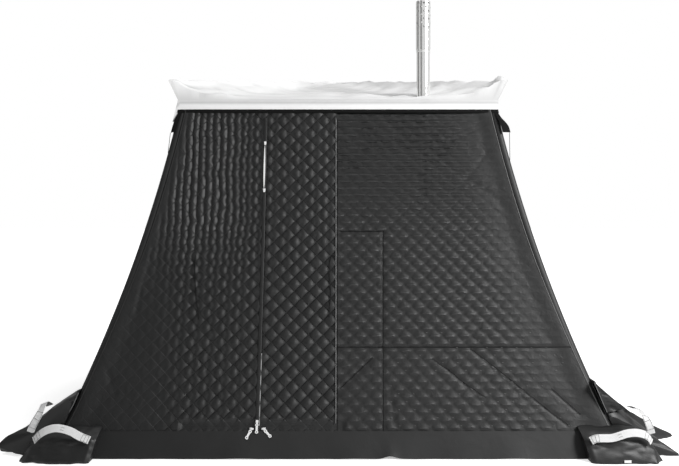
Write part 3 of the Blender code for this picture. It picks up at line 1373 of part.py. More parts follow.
def make_damper():
    """Flue damper: a disc on a rod across the flue, open at rest, with a grip outside."""
    centre = Vector((FLUE_X, FLUE_Y, DAMPER_HEIGHT))
    radius = FLUE_RADIUS - FLUE_WALL - DAMPER_CLEARANCE
    half = Vector((0.0, DAMPER_THICKNESS / 2, 0.0))
    disc = rod_mesh("flue_damper", centre - half, centre + half, radius, ROUND_SIDES)
    damper = add_part("flue_damper", disc, "flue_steel")
    tail = centre - Vector((FLUE_RADIUS + DAMPER_ROD_TAIL, 0.0, 0.0))
    head = centre + Vector((FLUE_RADIUS + DAMPER_ROD_OVERHANG, 0.0, 0.0))
    join(damper, add_cutter("damper_rod", rod_mesh("damper_rod", tail, head, DAMPER_ROD_RADIUS)))
    grip = rod_mesh("damper_grip", head - Vector((DAMPER_GRIP_LENGTH, 0.0, 0.0)),
                    head + Vector((DAMPER_ROD_RADIUS, 0.0, 0.0)), DAMPER_GRIP_RADIUS)
    join(damper, add_cutter("damper_grip", grip))
    seat(damper, centre)


def arrestor_holes():
    """Staggered rows of six-sided holes round the arrestor, as one cutter."""
    bm = bmesh.new()
    for row in range(ARRESTOR_HOLE_ROWS):
        height = ARRESTOR_HOLE_TOP_HEIGHT - ARRESTOR_HOLE_PITCH * row
        stagger = 1 / 2 if row % 2 else 0
        for place in range(ARRESTOR_HOLES_AROUND):
            angle = 2 * math.pi * (place + stagger) / ARRESTOR_HOLES_AROUND
            turn = Matrix.Rotation(angle, 4, "Z") @ Matrix.Rotation(math.radians(90), 4, "Y")
            middle = Matrix.Rotation(angle, 4, "Z") @ Vector((ARRESTOR_RADIUS, 0.0, 0.0))
            spot = Matrix.Translation(Vector((FLUE_X, FLUE_Y, height)) + middle)
            bmesh.ops.create_cone(
                bm, cap_ends=True, segments=ARRESTOR_HOLE_SIDES, radius1=ARRESTOR_HOLE_RADIUS,
                radius2=ARRESTOR_HOLE_RADIUS, depth=CUT_OVERRUN, matrix=spot @ turn,
            )
    return mesh_from(bm, "arrestor_holes")


def make_arrestor():
    """Spark arrestor: a capped, perforated can that slips over the flue's top."""
    outer = ARRESTOR_RADIUS
    inner = ARRESTOR_RADIUS - ARRESTOR_WALL
    top = ARRESTOR_TOP_HEIGHT
    slip = FLUE_RADIUS + 2 * GAP
    ledge = FLUE_TOP_HEIGHT + SEAM_GAP
    profile = [
        (0.0, top), (outer - ARRESTOR_CAP_ROUND, top), (outer, top - ARRESTOR_CAP_ROUND),
        (outer, ARRESTOR_FOOT_HEIGHT), (slip, ARRESTOR_FOOT_HEIGHT), (slip, ledge),
        (ARRESTOR_LEDGE_RADIUS, ledge), (ARRESTOR_LEDGE_RADIUS, ledge + ARRESTOR_LEDGE_THICKNESS),
        (inner, ledge + ARRESTOR_LEDGE_THICKNESS), (inner, top - ARRESTOR_CAP_ROUND), (0.0, top - ARRESTOR_CAP_ROUND),
    ]
    arrestor = turned_part("spark_arrestor", profile, (FLUE_X, FLUE_Y), "flue_steel")
    cut(arrestor, add_cutter("arrestor_holes", arrestor_holes()))


def build():
    """Make the whole tent."""
    make_front_wall()
    make_plain_walls()
    make_sleeves()
    make_skirt()
    make_fly()
    make_hem_band()
    half, foot, slope = make_ceiling()
    make_stove_jack(half, foot, slope)
    left_leaf, right_leaf = make_door()
    make_zip_hardware(left_leaf)
    make_tie_back("tie_back_cord_left", TIE_BACK_LEFT_ROUTE, left_leaf)
    make_tie_back("tie_back_cord_right", TIE_BACK_RIGHT_ROUTE, right_leaf)
    make_tie_cords()
    make_poles()
    make_hub()
    make_arms()
    make_bags()
    make_firebox()
    make_stove_door()
    make_latch()
    make_flue()
    make_damper()
    make_arrestor()


build()
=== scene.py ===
"""Looks of the sauna tent: quilted cover, roof fly, door, weight bags, straps and stove flue."""

import logging
import math
from contextlib import contextmanager
from dataclasses import dataclass, replace
from enum import Enum
from typing import Callable, Iterator, Optional, Sequence

import bmesh
import bpy
import numpy as np
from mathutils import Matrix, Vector, noise

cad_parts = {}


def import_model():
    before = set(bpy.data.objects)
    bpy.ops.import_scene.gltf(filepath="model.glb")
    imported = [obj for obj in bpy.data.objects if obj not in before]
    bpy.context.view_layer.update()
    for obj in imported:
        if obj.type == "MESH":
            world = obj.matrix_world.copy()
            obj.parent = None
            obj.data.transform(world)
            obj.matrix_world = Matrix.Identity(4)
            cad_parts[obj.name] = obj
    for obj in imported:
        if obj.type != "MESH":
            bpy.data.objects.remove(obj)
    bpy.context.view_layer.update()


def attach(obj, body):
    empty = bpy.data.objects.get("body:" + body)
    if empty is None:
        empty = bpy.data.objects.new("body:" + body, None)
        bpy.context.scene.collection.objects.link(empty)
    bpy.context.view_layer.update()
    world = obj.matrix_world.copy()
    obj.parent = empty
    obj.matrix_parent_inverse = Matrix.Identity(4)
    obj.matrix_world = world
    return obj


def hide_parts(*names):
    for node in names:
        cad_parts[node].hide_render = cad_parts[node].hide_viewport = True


LOG = logging.getLogger("sauna_tent")
Points = np.ndarray
CLOTH_UV = "cloth"


class Side(Enum):
    """A side of the tent, as its number of quarter turns from the front."""

    FRONT = 0
    RIGHT = 1
    REAR = 2
    LEFT = 3


class Corner(Enum):
    """A corner of the tent, as the signs of its X and Y."""

    FRONT_LEFT = (-1, -1)
    FRONT_RIGHT = (1, -1)
    REAR_RIGHT = (1, 1)
    REAR_LEFT = (-1, 1)


# Mesh helpers


def turned(points: Points, side: Side) -> Points:
    """Turn front-side points to another side.

    Args:
        points: array whose last axis is x, y, z.
        side: the side to bring them to.

    Returns:
        The turned array.
    """
    angle = math.pi / 2 * side.value
    cos, sin = round(math.cos(angle)), round(math.sin(angle))
    x, y = points[..., 0], points[..., 1]
    return np.stack([x * cos - y * sin, x * sin + y * cos, points[..., 2]], axis=-1)


def smooth(value: Points) -> Points:
    """Ease a value from 0 to 1 with flat ends."""
    value = np.clip(value, 0.0, 1.0)
    return value * value * (3 - 2 * value)


def ripple(points: Points, scale: float, seed: float) -> Points:
    """Smooth noise from -1 to 1 at an array of points.

    Args:
        points: array of x, y, z.
        scale: how many bumps there are in a metre.
        seed: shifts the pattern.

    Returns:
        One value for each point.
    """
    flat = points.reshape(-1, 3) * scale + seed
    values = [noise.noise(Vector(point)) for point in flat]
    return np.array(values).reshape(points.shape[:-1]) * 2


def grid_mesh(name: str, points: Points, uv: Points, keep: Optional[Points] = None,
              wrap: bool = False) -> bpy.types.Mesh:
    """Make a mesh of quads from rows and columns of points.

    Args:
        name: the mesh's name.
        points: rows by columns by 3; columns run right and rows run up, seen from outside.
        uv: rows by columns by 2, in metres of cloth.
        keep: which quads stay, rows - 1 by columns - 1.
        wrap: joins the last column to the first.

    Returns:
        The mesh, with a UV map in metres.
    """
    rows, cols = points.shape[:2]
    index = np.arange(rows * cols).reshape(rows, cols)
    if wrap:
        index = np.concatenate([index, index[:, :1]], axis=1)
    quads = np.stack([index[:-1, :-1], index[:-1, 1:], index[1:, 1:], index[1:, :-1]], axis=-1)
    quads = quads[keep] if keep is not None else quads.reshape(-1, 4)
    mesh = bpy.data.meshes.new(name)
    mesh.from_pydata(points.reshape(-1, 3).tolist(), [], quads.reshape(-1, 4).tolist())
    layer = mesh.uv_layers.new(name=CLOTH_UV)
    loops = np.empty(len(mesh.loops), dtype=np.int32)
    mesh.loops.foreach_get("vertex_index", loops)
    layer.data.foreach_set("uv", uv.reshape(-1, 2)[loops].ravel())
    mesh.shade_smooth()
    return mesh


def even_uv(across: Points, up: Points) -> Points:
    """A UV grid from the places of its columns and of its rows."""
    return np.stack(np.broadcast_arrays(across[None, :], up[:, None]), axis=-1)


def level_uv(across: Points, points: Points) -> Points:
    """A UV grid from the places of its columns and the heights of its points."""
    return np.stack([np.broadcast_to(across, points.shape[:2]), points[..., 2]], axis=-1)


@contextmanager
def editing(mesh: bpy.types.Mesh) -> Iterator[bmesh.types.BMesh]:
    """Open a mesh for editing, and write it back afterwards.

    Args:
        mesh: the mesh.

    Returns:
        Its editable form.
    """
    bm = bmesh.new()
    bm.from_mesh(mesh)
    yield bm
    bm.to_mesh(mesh)
    bm.free()


def drop_loose(mesh: bpy.types.Mesh) -> None:
    """Delete points that no face uses."""
    with editing(mesh) as bm:
        bmesh.ops.delete(bm, geom=[v for v in bm.verts if not v.link_faces], context="VERTS")


def store(mesh: bpy.types.Mesh, label: str, values: Points) -> None:
    """Store a number at each point of a mesh."""
    layer = mesh.attributes.new(label, "FLOAT", "POINT")
    layer.data.foreach_set("value", values.ravel().astype(np.float32))


def add_piece(name: str, mesh: bpy.types.Mesh, material: bpy.types.Material, body: str) -> bpy.types.Object:
    """Put a mesh into the scene as a piece that rides on a body.

    Args:
        name: the piece's name.
        mesh: its mesh, already in place.
        material: its finish.
        body: the body that carries it.

    Returns:
        The piece.
    """
    piece = bpy.data.objects.new(name, mesh)
    bpy.context.scene.collection.objects.link(piece)
    if not mesh.materials:
        mesh.materials.append(material)
    else:
        mesh.materials[0] = material
    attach(piece, body)
    LOG.info("made %s", name)
    return piece


def thicken(piece: bpy.types.Object, thickness: float) -> None:
    """Give an open sheet its thickness, on its inner side, with crisp rims.

    Args:
        piece: the sheet's piece.
        thickness: its thickness.
    """
    step = piece.modifiers.new("thickness", "SOLIDIFY")
    step.thickness = thickness
    step.offset = -1
    step.use_quality_normals = True
    bpy.context.view_layer.update()
    seen = piece.evaluated_get(bpy.context.evaluated_depsgraph_get())
    mesh = bpy.data.meshes.new_from_object(seen)
    piece.modifiers.remove(step)
    mesh.name = piece.name
    mesh.set_sharp_from_angle(angle=math.radians(60.0))
    piece.data = mesh


def add_cloth(name: str, mesh: bpy.types.Mesh, material: bpy.types.Material, thickness: float,
              body: str = "tent", node: str = "") -> bpy.types.Object:
    """Add an open sheet as a piece with a thickness.

    Args:
        name: the piece's name.
        mesh: the open sheet.
        material: its finish.
        thickness: how far it reaches inwards.
        body: the body that carries it.
        node: the CAD node it stands for, if any.

    Returns:
        The piece.
    """
    piece = add_piece(name, mesh, material, body)
    thicken(piece, thickness)
    if node:
        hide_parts(node)
    return piece


def lengths_along(points: Points) -> Points:
    """How far along a line each of its points lies."""
    return np.concatenate([[0.0], np.cumsum(np.linalg.norm(np.diff(points, axis=0), axis=1))])


def loft(name: str, rings: Sequence[Sequence[Vector]], around: Sequence[float], lengths: Sequence[float],
         soft: bool) -> bpy.types.Mesh:
    """A closed mesh through rings of points, with flat ends.

    Args:
        name: the mesh's name.
        rings: the rings, from one end to the other.
        around: the UV map's first number at each point of a ring, and again where it closes.
        lengths: the UV map's second number at each ring.
        soft: shades its sides smooth.

    Returns:
        The mesh.
    """
    mesh = bpy.data.meshes.new(name)
    with editing(mesh) as bm:
        layer = bm.loops.layers.uv.new(CLOTH_UV)
        rows = [[bm.verts.new(point) for point in ring] for ring in rings]
        count = len(rows[0])
        for i, (low, high) in enumerate(zip(rows, rows[1:])):
            for k in range(count):
                j = (k + 1) % count
                face = bm.faces.new((low[k], low[j], high[j], high[k]))
                for loop, (turn, row) in zip(face.loops, ((k, i), (k + 1, i), (k + 1, i + 1), (k, i + 1))):
                    loop[layer].uv = (around[turn], lengths[row])
                face.smooth = soft
        bm.faces.new(rows[0][::-1])
        bm.faces.new(rows[-1])
        bmesh.ops.recalc_face_normals(bm, faces=bm.faces)
    return mesh


def tube(points: Sequence[Sequence[float]], radius: float, sides: int, name: str) -> bpy.types.Mesh:
    """A closed round tube through points, with a UV map along it.

    Args:
        points: the centreline.
        radius: the tube's radius.
        sides: how many sides it has.
        name: the mesh's name.

    Returns:
        The mesh.
    """
    path = [Vector(point) for point in points]
    rings, lengths, normal = [], [0.0], None
    for i, point in enumerate(path):
        along = (path[min(i + 1, len(path) - 1)] - path[max(i - 1, 0)]).normalized()
        if normal is None:
            normal = along.orthogonal().normalized()
        else:
            lengths.append(lengths[-1] + (point - path[i - 1]).length)
        normal = (normal - along * normal.dot(along)).normalized()
        side = along.cross(normal)
        rings.append([point + (normal * math.cos(a) + side * math.sin(a)) * radius
                      for a in (2 * math.pi * k / sides for k in range(sides))])
    around = [k / sides * 2 * math.pi * radius for k in range(sides + 1)]
    return loft(name, rings, around, lengths, True)


def band(centres: Points, across: Points, out: Points, width: float, thickness: float, name: str) -> bpy.types.Mesh:
    """A webbing strap: a flat closed band along a line, with rounded edges.

    Args:
        centres: points along the strap's middle.
        across: unit vectors over its width.
        out: unit vectors away from what it lies on.
        width: the strap's width.
        thickness: the strap's thickness.
        name: the mesh's name.

    Returns:
        The mesh.
    """
    shares = np.array([-0.5, -0.47, 0.47, 0.5, 0.47, -0.47])
    lifts = np.array([0.5, 1.0, 1.0, 0.5, 0.0, 0.0])
    rings = [[Vector(centre + side * width * s + lift * thickness * h) for s, h in zip(shares, lifts)]
             for centre, side, lift in zip(centres, across, out)]
    return loft(name, rings, np.append(shares, shares[0]) * width, lengths_along(centres), False)


def spline(points: Sequence[Sequence[float]], count: int) -> Points:
    """Evenly spaced points on a smooth curve through the given points.

    Args:
        points: the given points.
        count: how many points to return.

    Returns:
        The points, as an array.
    """
    given = np.array(points, dtype=float)
    ends = np.concatenate([[2 * given[0] - given[1]], given, [2 * given[-1] - given[-2]]])
    dense = []
    for a, b, c, d in zip(ends, ends[1:], ends[2:], ends[3:]):
        for t in np.linspace(0, 1, 24, endpoint=False):
            dense.append((2 * b + (c - a) * t + (2 * a - 5 * b + 4 * c - d) * t ** 2
                          + (3 * b - a - 3 * c + d) * t ** 3) / 2)
    dense = np.array(dense + [given[-1]])
    reach = lengths_along(dense)
    wanted = np.linspace(0.0, reach[-1], count)
    return np.stack([np.interp(wanted, reach, dense[:, k]) for k in range(given.shape[1])], axis=-1)


# Node helpers


class Term:
    """A node's output, whose arithmetic makes Math nodes."""

    def __init__(self, wiring: "Wiring", socket: bpy.types.NodeSocket) -> None:
        """Hold an output and its tree's wiring."""
        self.wiring, self.socket = wiring, socket

    def __add__(self, other: object) -> "Term":
        """Sum."""
        return self.wiring.math("ADD", self, other)

    def __radd__(self, other: object) -> "Term":
        """Sum with a number in front."""
        return self.wiring.math("ADD", other, self)

    def __sub__(self, other: object) -> "Term":
        """Difference."""
        return self.wiring.math("SUBTRACT", self, other)

    def __rsub__(self, other: object) -> "Term":
        """Difference from a number."""
        return self.wiring.math("SUBTRACT", other, self)

    def __mul__(self, other: object) -> "Term":
        """Product."""
        return self.wiring.math("MULTIPLY", self, other)

    def __truediv__(self, other: object) -> "Term":
        """Quotient."""
        return self.wiring.math("DIVIDE", self, other)


class Wiring:
    """Adds nodes to one tree and links them."""

    def __init__(self, tree: bpy.types.NodeTree) -> None:
        """Start on a tree."""
        self.tree = tree

    def add(self, kind: str, feeds: Optional[dict] = None, **settings: object) -> bpy.types.Node:
        """Add a node.

        Args:
            kind: the node's type.
            feeds: terms or values for its inputs, by name or number.
            **settings: its properties.

        Returns:
            The node.
        """
        node = self.tree.nodes.new(kind)
        node.location = (180 * (len(self.tree.nodes) % 12), -220 * (len(self.tree.nodes) // 12))
        for key, value in settings.items():
            setattr(node, key, value)
        self.fill(node, feeds or {})
        return node

    def fill(self, node: bpy.types.Node, feeds: dict) -> None:
        """Link terms to a node's inputs, or set the inputs' own values.

        Args:
            node: the node.
            feeds: terms or values, by the inputs' names or numbers.
        """
        for key, value in feeds.items():
            if isinstance(value, Term):
                self.tree.links.new(value.socket, node.inputs[key])
            else:
                node.inputs[key].default_value = value

    def out(self, kind: str, feeds: Optional[dict] = None, output: object = 0, **settings: object) -> Term:
        """Add a node and return one of its outputs."""
        return Term(self, self.add(kind, feeds, **settings).outputs[output])

    def named(self, kind: str, feeds: Optional[dict] = None, **settings: object) -> dict:
        """Add a node and return its outputs by name."""
        node = self.add(kind, feeds, **settings)
        return {socket.name: Term(self, socket) for socket in node.outputs}

    def group(self, tree: bpy.types.NodeTree, feeds: dict) -> dict:
        """Add a shader group and return its outputs by name."""
        return self.named("ShaderNodeGroup", feeds, node_tree=tree)

    def parts(self, vector: Term) -> tuple:
        """The first two numbers of a vector."""
        outputs = self.add("ShaderNodeSeparateXYZ", {0: vector}).outputs
        return Term(self, outputs[0]), Term(self, outputs[1])

    def math(self, operation: str, first: object, second: object = 0.0) -> Term:
        """A Math node's result."""
        return self.out("ShaderNodeMath", {0: first, 1: second}, operation=operation)

    def ramp(self, value: object, low: float, high: float, start: float = 0.0, end: float = 1.0) -> Term:
        """Map a value from one range to another, held at the ends."""
        return self.out("ShaderNodeMapRange", dict(enumerate((value, low, high, start, end))), clamp=True)

    def attribute(self, label: str) -> Term:
        """A number that a mesh stores, in a shader."""
        return self.out("ShaderNodeAttribute", output="Fac", attribute_type="GEOMETRY", attribute_name=label)


SOCKETS = {"Geometry": "NodeSocketGeometry", "Material": "NodeSocketMaterial", "Vector": "NodeSocketVector",
           "Start": "NodeSocketVector", "End": "NodeSocketVector"}


def new_group(name: str, kind: str, inputs: dict, outputs: Sequence[str]) -> tuple:
    """Make a node group whose sockets are numbers, unless SOCKETS has another kind for the name.

    Args:
        name: the group's name.
        kind: the tree's type.
        inputs: input name to value, or to None.
        outputs: the outputs' names.

    Returns:
        The tree, its wiring, its inputs' terms by name and its output node.
    """
    tree = bpy.data.node_groups.new(name, kind)
    for label, value in inputs.items():
        made = tree.interface.new_socket(label, in_out="INPUT", socket_type=SOCKETS.get(label, "NodeSocketFloat"))
        if value is not None:
            made.default_value = value
    for label in outputs:
        tree.interface.new_socket(label, in_out="OUTPUT", socket_type=SOCKETS.get(label, "NodeSocketFloat"))
    w = Wiring(tree)
    given = w.add("NodeGroupInput")
    return tree, w, {label: Term(w, given.outputs[label]) for label in inputs}, w.add("NodeGroupOutput")


def grown(piece: bpy.types.Object, tree: bpy.types.NodeTree, values: dict, name: str) -> bpy.types.Mesh:
    """Run a geometry tree on an object and return the result as a plain mesh.

    Args:
        piece: a helper object, removed afterwards.
        tree: the geometry tree.
        values: input name to value.
        name: the new mesh's name.

    Returns:
        The mesh.
    """
    step = piece.modifiers.new("shape", "NODES")
    step.node_group = tree
    for item in tree.interface.items_tree:
        if item.in_out == "INPUT" and item.name in values:
            step[item.identifier] = values[item.name]
    bpy.context.view_layer.update()
    seen = piece.evaluated_get(bpy.context.evaluated_depsgraph_get())
    mesh = bpy.data.meshes.new_from_object(seen)
    mesh.name = name
    piece.modifiers.remove(step)
    bpy.data.objects.remove(piece, do_unlink=True)
    return mesh


def helper(mesh: bpy.types.Mesh) -> bpy.types.Object:
    """A helper object that carries a mesh into a geometry tree.

    Args:
        mesh: the mesh.

    Returns:
        The object.
    """
    piece = bpy.data.objects.new("helper", mesh)
    bpy.context.scene.collection.objects.link(piece)
    return piece


def line_object(paths: Sequence[Sequence[Sequence[float]]]) -> bpy.types.Object:
    """A helper made of edges along paths.

    Args:
        paths: points along each path.

    Returns:
        The helper object.
    """
    verts, edges = [], []
    for path in paths:
        start = len(verts)
        verts += [tuple(point) for point in path]
        edges += [(start + i, start + i + 1) for i in range(len(path) - 1)]
    mesh = bpy.data.meshes.new("paths")
    mesh.from_pydata(verts, edges, [])
    return helper(mesh)


# Geometry trees


def close_tree(w: Wiring, inp: dict, end: bpy.types.Node, geometry: Term) -> None:
    """Make a geometry real, give it the tree's material and put it out."""
    real = w.out("GeometryNodeRealizeInstances", {0: geometry})
    w.fill(end, {0: w.out("GeometryNodeSetMaterial", {"Geometry": real, "Material": inp["Material"]})})


def quilting_tree() -> bpy.types.NodeTree:
    """Tree that puffs a cloth out between its quilting lines.

    Where the cloth's "pull" is 0 the puffs are diamonds. Towards -1 it is drawn into upright
    zigzags, and towards 1 into short level folds. "crease" is the depth of packing creases,
    and "slack" is how much the padding still stands out where the cloth is stretched. It also
    stores painted shading for the shader: painted shade in the valleys between the puffs and
    painted light on their tops.

    Returns:
        The tree.
    """
    tree, w, inp, end = new_group("quilting", "GeometryNodeTree", {
        "Geometry": None, "Diamond Width": 0.078, "Diamond Height": 0.078, "Puff": 0.006, "Wrinkle": 0.004,
        "Seed": 0.0, "Middle": 0.5, "Contrast": 0.8, "Material": None}, ["Geometry"])
    named = "GeometryNodeInputNamedAttribute"
    across, up = w.parts(w.out(named, {"Name": CLOTH_UV}, data_type="FLOAT_VECTOR"))
    pull, crease, slack = (w.out(named, {"Name": label}, data_type="FLOAT") for label in ("pull", "crease", "slack"))
    across, up = across / inp["Diamond Width"], up / inp["Diamond Height"]
    waves = [w.math("ABSOLUTE", w.math("SINE", value * math.pi)) for value in (across + up, across - up)]
    diamond = w.math("POWER", waves[0] * waves[1], 0.6)
    sway = w.out("ShaderNodeTexNoise", noise_dimensions="4D", output="Fac", feeds={
        "Vector": w.out("GeometryNodeInputPosition"), "W": inp["Seed"], "Scale": 5.0, "Detail": 2.0}) - 0.5
    drawn = w.math("MAXIMUM", pull * -1.0, 0.0)
    level = w.math("MAXIMUM", pull, 0.0)
    bend = w.math("PINGPONG", up, 0.5) * w.ramp(drawn, 0.6, 1.0, 0.5, 0.12)
    upright = w.math("ABSOLUTE", w.math("SINE", (across + bend + sway * 0.5) * (2 * math.pi)))
    row = w.math("FRACT", up * 2.0 + 0.66 + sway * 0.5)
    ridge = w.ramp(w.math("ABSOLUTE", row - 0.5), 0.0, 0.30, 1.0, 0.0)
    shape = upright * drawn + diamond * (1.0 - drawn - level * 0.85)
    shape = (shape + ridge * w.ramp(level, 0.4, 1.0, 0.1, 0.8)) * slack
    height = shape * inp["Puff"] + sway * inp["Wrinkle"] - crease - inp["Puff"]
    offset = w.out("ShaderNodeVectorMath", {0: w.out("GeometryNodeInputNormal"), "Scale": height}, operation="SCALE")
    moved = w.out("GeometryNodeSetPosition", {"Geometry": inp["Geometry"], "Offset": offset})
    # Painted shading: the valleys between the puffs are painted darker and the puff tops lighter.
    painted_shading = (slack * inp["Middle"] - shape) * (inp["Contrast"] * w.ramp(level, 0.0, 0.6, 1.0, 0.7))
    close_tree(w, inp, end, w.out("GeometryNodeStoreNamedAttribute", data_type="FLOAT", domain="POINT", feeds={
        "Geometry": moved, "Name": "painted_shading", "Value": painted_shading}))
    return tree


def stitch_tree() -> bpy.types.NodeTree:
    """Tree that sets a row of stitches along each path.

    Returns:
        The tree.
    """
    tree, w, inp, end = new_group("stitch_row", "GeometryNodeTree", {
        "Geometry": None, "Spacing": 0.006, "Stitch Length": 0.004, "Stitch Width": 0.001,
        "Material": None}, ["Geometry"])
    curve = w.out("GeometryNodeMeshToCurve", {0: inp["Geometry"]})
    even = w.out("GeometryNodeResampleCurve", mode="LENGTH", feeds={"Curve": curve, "Length": inp["Spacing"]})
    stitch = w.out("GeometryNodeMeshIcoSphere", {"Radius": 0.5, "Subdivisions": 1})
    turn = w.out("FunctionNodeAlignRotationToVector", {"Vector": w.out("GeometryNodeInputTangent")}, axis="X")
    size = w.out("ShaderNodeCombineXYZ", {0: inp["Stitch Length"], 1: inp["Stitch Width"], 2: inp["Stitch Width"]})
    close_tree(w, inp, end, w.out("GeometryNodeInstanceOnPoints", {
        "Points": even, "Instance": stitch, "Rotation": turn, "Scale": size}))
    return tree


# Shared shader effects


def cloth_grain_group() -> bpy.types.NodeTree:
    """Weave and small crumples of a cloth, as a height and a tone.

    Returns:
        The tree.
    """
    tree, w, inp, end = new_group("cloth_grain", "ShaderNodeTree", {
        "Vector": None, "Thread": 900.0, "Crumple": 14.0, "Tone": 0.2}, ["Height", "Shade"])
    fine = w.out("ShaderNodeTexNoise", {"Vector": inp["Vector"], "Scale": inp["Thread"], "Detail": 1.0}, "Fac")
    crumple = w.out("ShaderNodeTexNoise", {
        "Vector": inp["Vector"], "Scale": inp["Crumple"], "Detail": 4.0, "Distortion": 0.8}, "Fac")
    w.fill(end, {"Height": fine * 0.04 + crumple, "Shade": 1.0 + (crumple - 0.5) * inp["Tone"]})
    return tree


def quilt_relief_group() -> bpy.types.NodeTree:
    """Quilting seen close: the stitched lines, the puffs and the short folds of slack cloth.

    Line is 1 on a stitched line. Height is the relief. Shade is painted light on the folds'
    upper faces and painted shade under them.

    Returns:
        The tree.
    """
    tree, w, inp, end = new_group("quilt_relief", "ShaderNodeTree", {
        "Vector": None, "Pull": 0.0, "Slack": 1.0, "Diamond Width": 0.078, "Diamond Height": 0.078,
        "Line": 0.05, "Fold": 0.5}, ["Line", "Height", "Shade"])
    sway = w.out("ShaderNodeTexNoise", {"Vector": inp["Vector"], "Scale": 16.0, "Detail": 2.0}, "Fac") - 0.5
    across, up = w.parts(inp["Vector"])
    across, up = across / inp["Diamond Width"], up / inp["Diamond Height"]
    lines = (across + up, across - up)
    near = w.math("MINIMUM", *(w.math("PINGPONG", value, 0.5) for value in lines))
    line = 1.0 - w.math("MINIMUM", near / inp["Line"], 1.0)
    first, second = (w.math("FRACT", value) - 0.5 for value in lines)
    side = (first + second) * 0.5
    rise = (first - second) * 0.5 + sway * 0.35
    reach = w.ramp(w.math("ABSOLUTE", side * w.ramp(inp["Pull"], 0.75, 1.0, 1.0, 0.45)), 0.20, 0.38, 1.0, 0.0)
    fold = w.ramp(rise, -0.08, 0.06, 1.0, 0.0) * w.ramp(rise, -0.16, -0.09) * reach
    under = w.ramp(rise, -0.44, -0.24) * w.ramp(rise, -0.18, -0.11, 1.0, 0.0) * reach
    level = w.math("MAXIMUM", inp["Pull"], 0.0) * inp["Slack"] * inp["Fold"]
    line = line * (w.ramp(inp["Pull"], 0.0, 0.6, 1.0, 0.0) * inp["Slack"])
    # Painted light on each fold's upper face, painted shade under it.
    w.fill(end, {"Line": line, "Height": fold * level - line,
                 "Shade": 1.0 + (fold * 0.80 * level - under * 0.60 * level)})
    return tree


def seam_line_group() -> bpy.types.NodeTree:
    """A narrow line between two points of a cloth, 1 on the line.

    Returns:
        The tree.
    """
    tree, w, inp, end = new_group("seam_line", "ShaderNodeTree", {
        "Vector": None, "Start": None, "End": None, "Width": 0.004}, ["Mask"])

    def vector(operation: str, first: Term, second: Term, output: object = 0) -> Term:
        """A Vector Math node's result."""
        return w.out("ShaderNodeVectorMath", {0: first, 1: second}, output, operation=operation)

    run = vector("SUBTRACT", inp["End"], inp["Start"])
    place = vector("SUBTRACT", inp["Vector"], inp["Start"])
    share = vector("DOT_PRODUCT", place, run, "Value") / vector("DOT_PRODUCT", run, run, "Value")
    held = w.math("MINIMUM", w.math("MAXIMUM", share, 0.0), 1.0)
    foot = w.out("ShaderNodeVectorMath", {0: run, "Scale": held}, operation="SCALE")
    away = vector("DISTANCE", place, foot, "Value")
    w.fill(end, {"Mask": 1.0 - w.math("MINIMUM", away / inp["Width"], 1.0)})
    return tree


@dataclass(frozen=True)
class Groups:
    """The shader groups and geometry trees that several pieces share."""

    grain: bpy.types.NodeTree
    relief: bpy.types.NodeTree
    seam: bpy.types.NodeTree
    quilting: bpy.types.NodeTree
    stitches: bpy.types.NodeTree


def stitched(name: str, paths: Sequence, groups: Groups, finish: bpy.types.Material, body: str,
             sizes: tuple) -> None:
    """Add rows of stitches along paths as one piece.

    Args:
        name: the piece's name.
        paths: points along each row.
        groups: the shared trees.
        finish: the thread's finish.
        body: the body that carries them.
        sizes: the stitches' spacing, length and width.
    """
    values = dict(zip(("Spacing", "Stitch Length", "Stitch Width"), sizes))
    mesh = grown(line_object(paths), groups.stitches, {**values, "Material": finish}, name)
    add_piece(name, mesh, finish, body)


# Finishes


def shader(name: str) -> tuple:
    """A new material.

    Args:
        name: its name.

    Returns:
        The material, its wiring and its Principled BSDF.
    """
    material = bpy.data.materials.new(name)
    material.use_nodes = True
    return material, Wiring(material.node_tree), material.node_tree.nodes["Principled BSDF"]


class Finish:
    """A finish with a tinted colour and a bump, from what the kind's own look() gives."""

    def make(self, groups: Groups) -> bpy.types.Material:
        """Build the material.

        Args:
            groups: the shared shader groups.

        Returns:
            The material.
        """
        material, w, bsdf = shader(self.name)
        shade, relief, strength, distance, others = self.look(w, groups)
        tint = w.out("ShaderNodeMix", {0: 1.0, 6: (*self.colour, 1.0), 7: shade}, 2,
                     data_type="RGBA", blend_type="MULTIPLY")
        bump = w.out("ShaderNodeBump", {"Strength": strength, "Distance": distance, "Height": relief})
        w.fill(bsdf, {"Base Color": tint, "Normal": bump, **others})
        return material


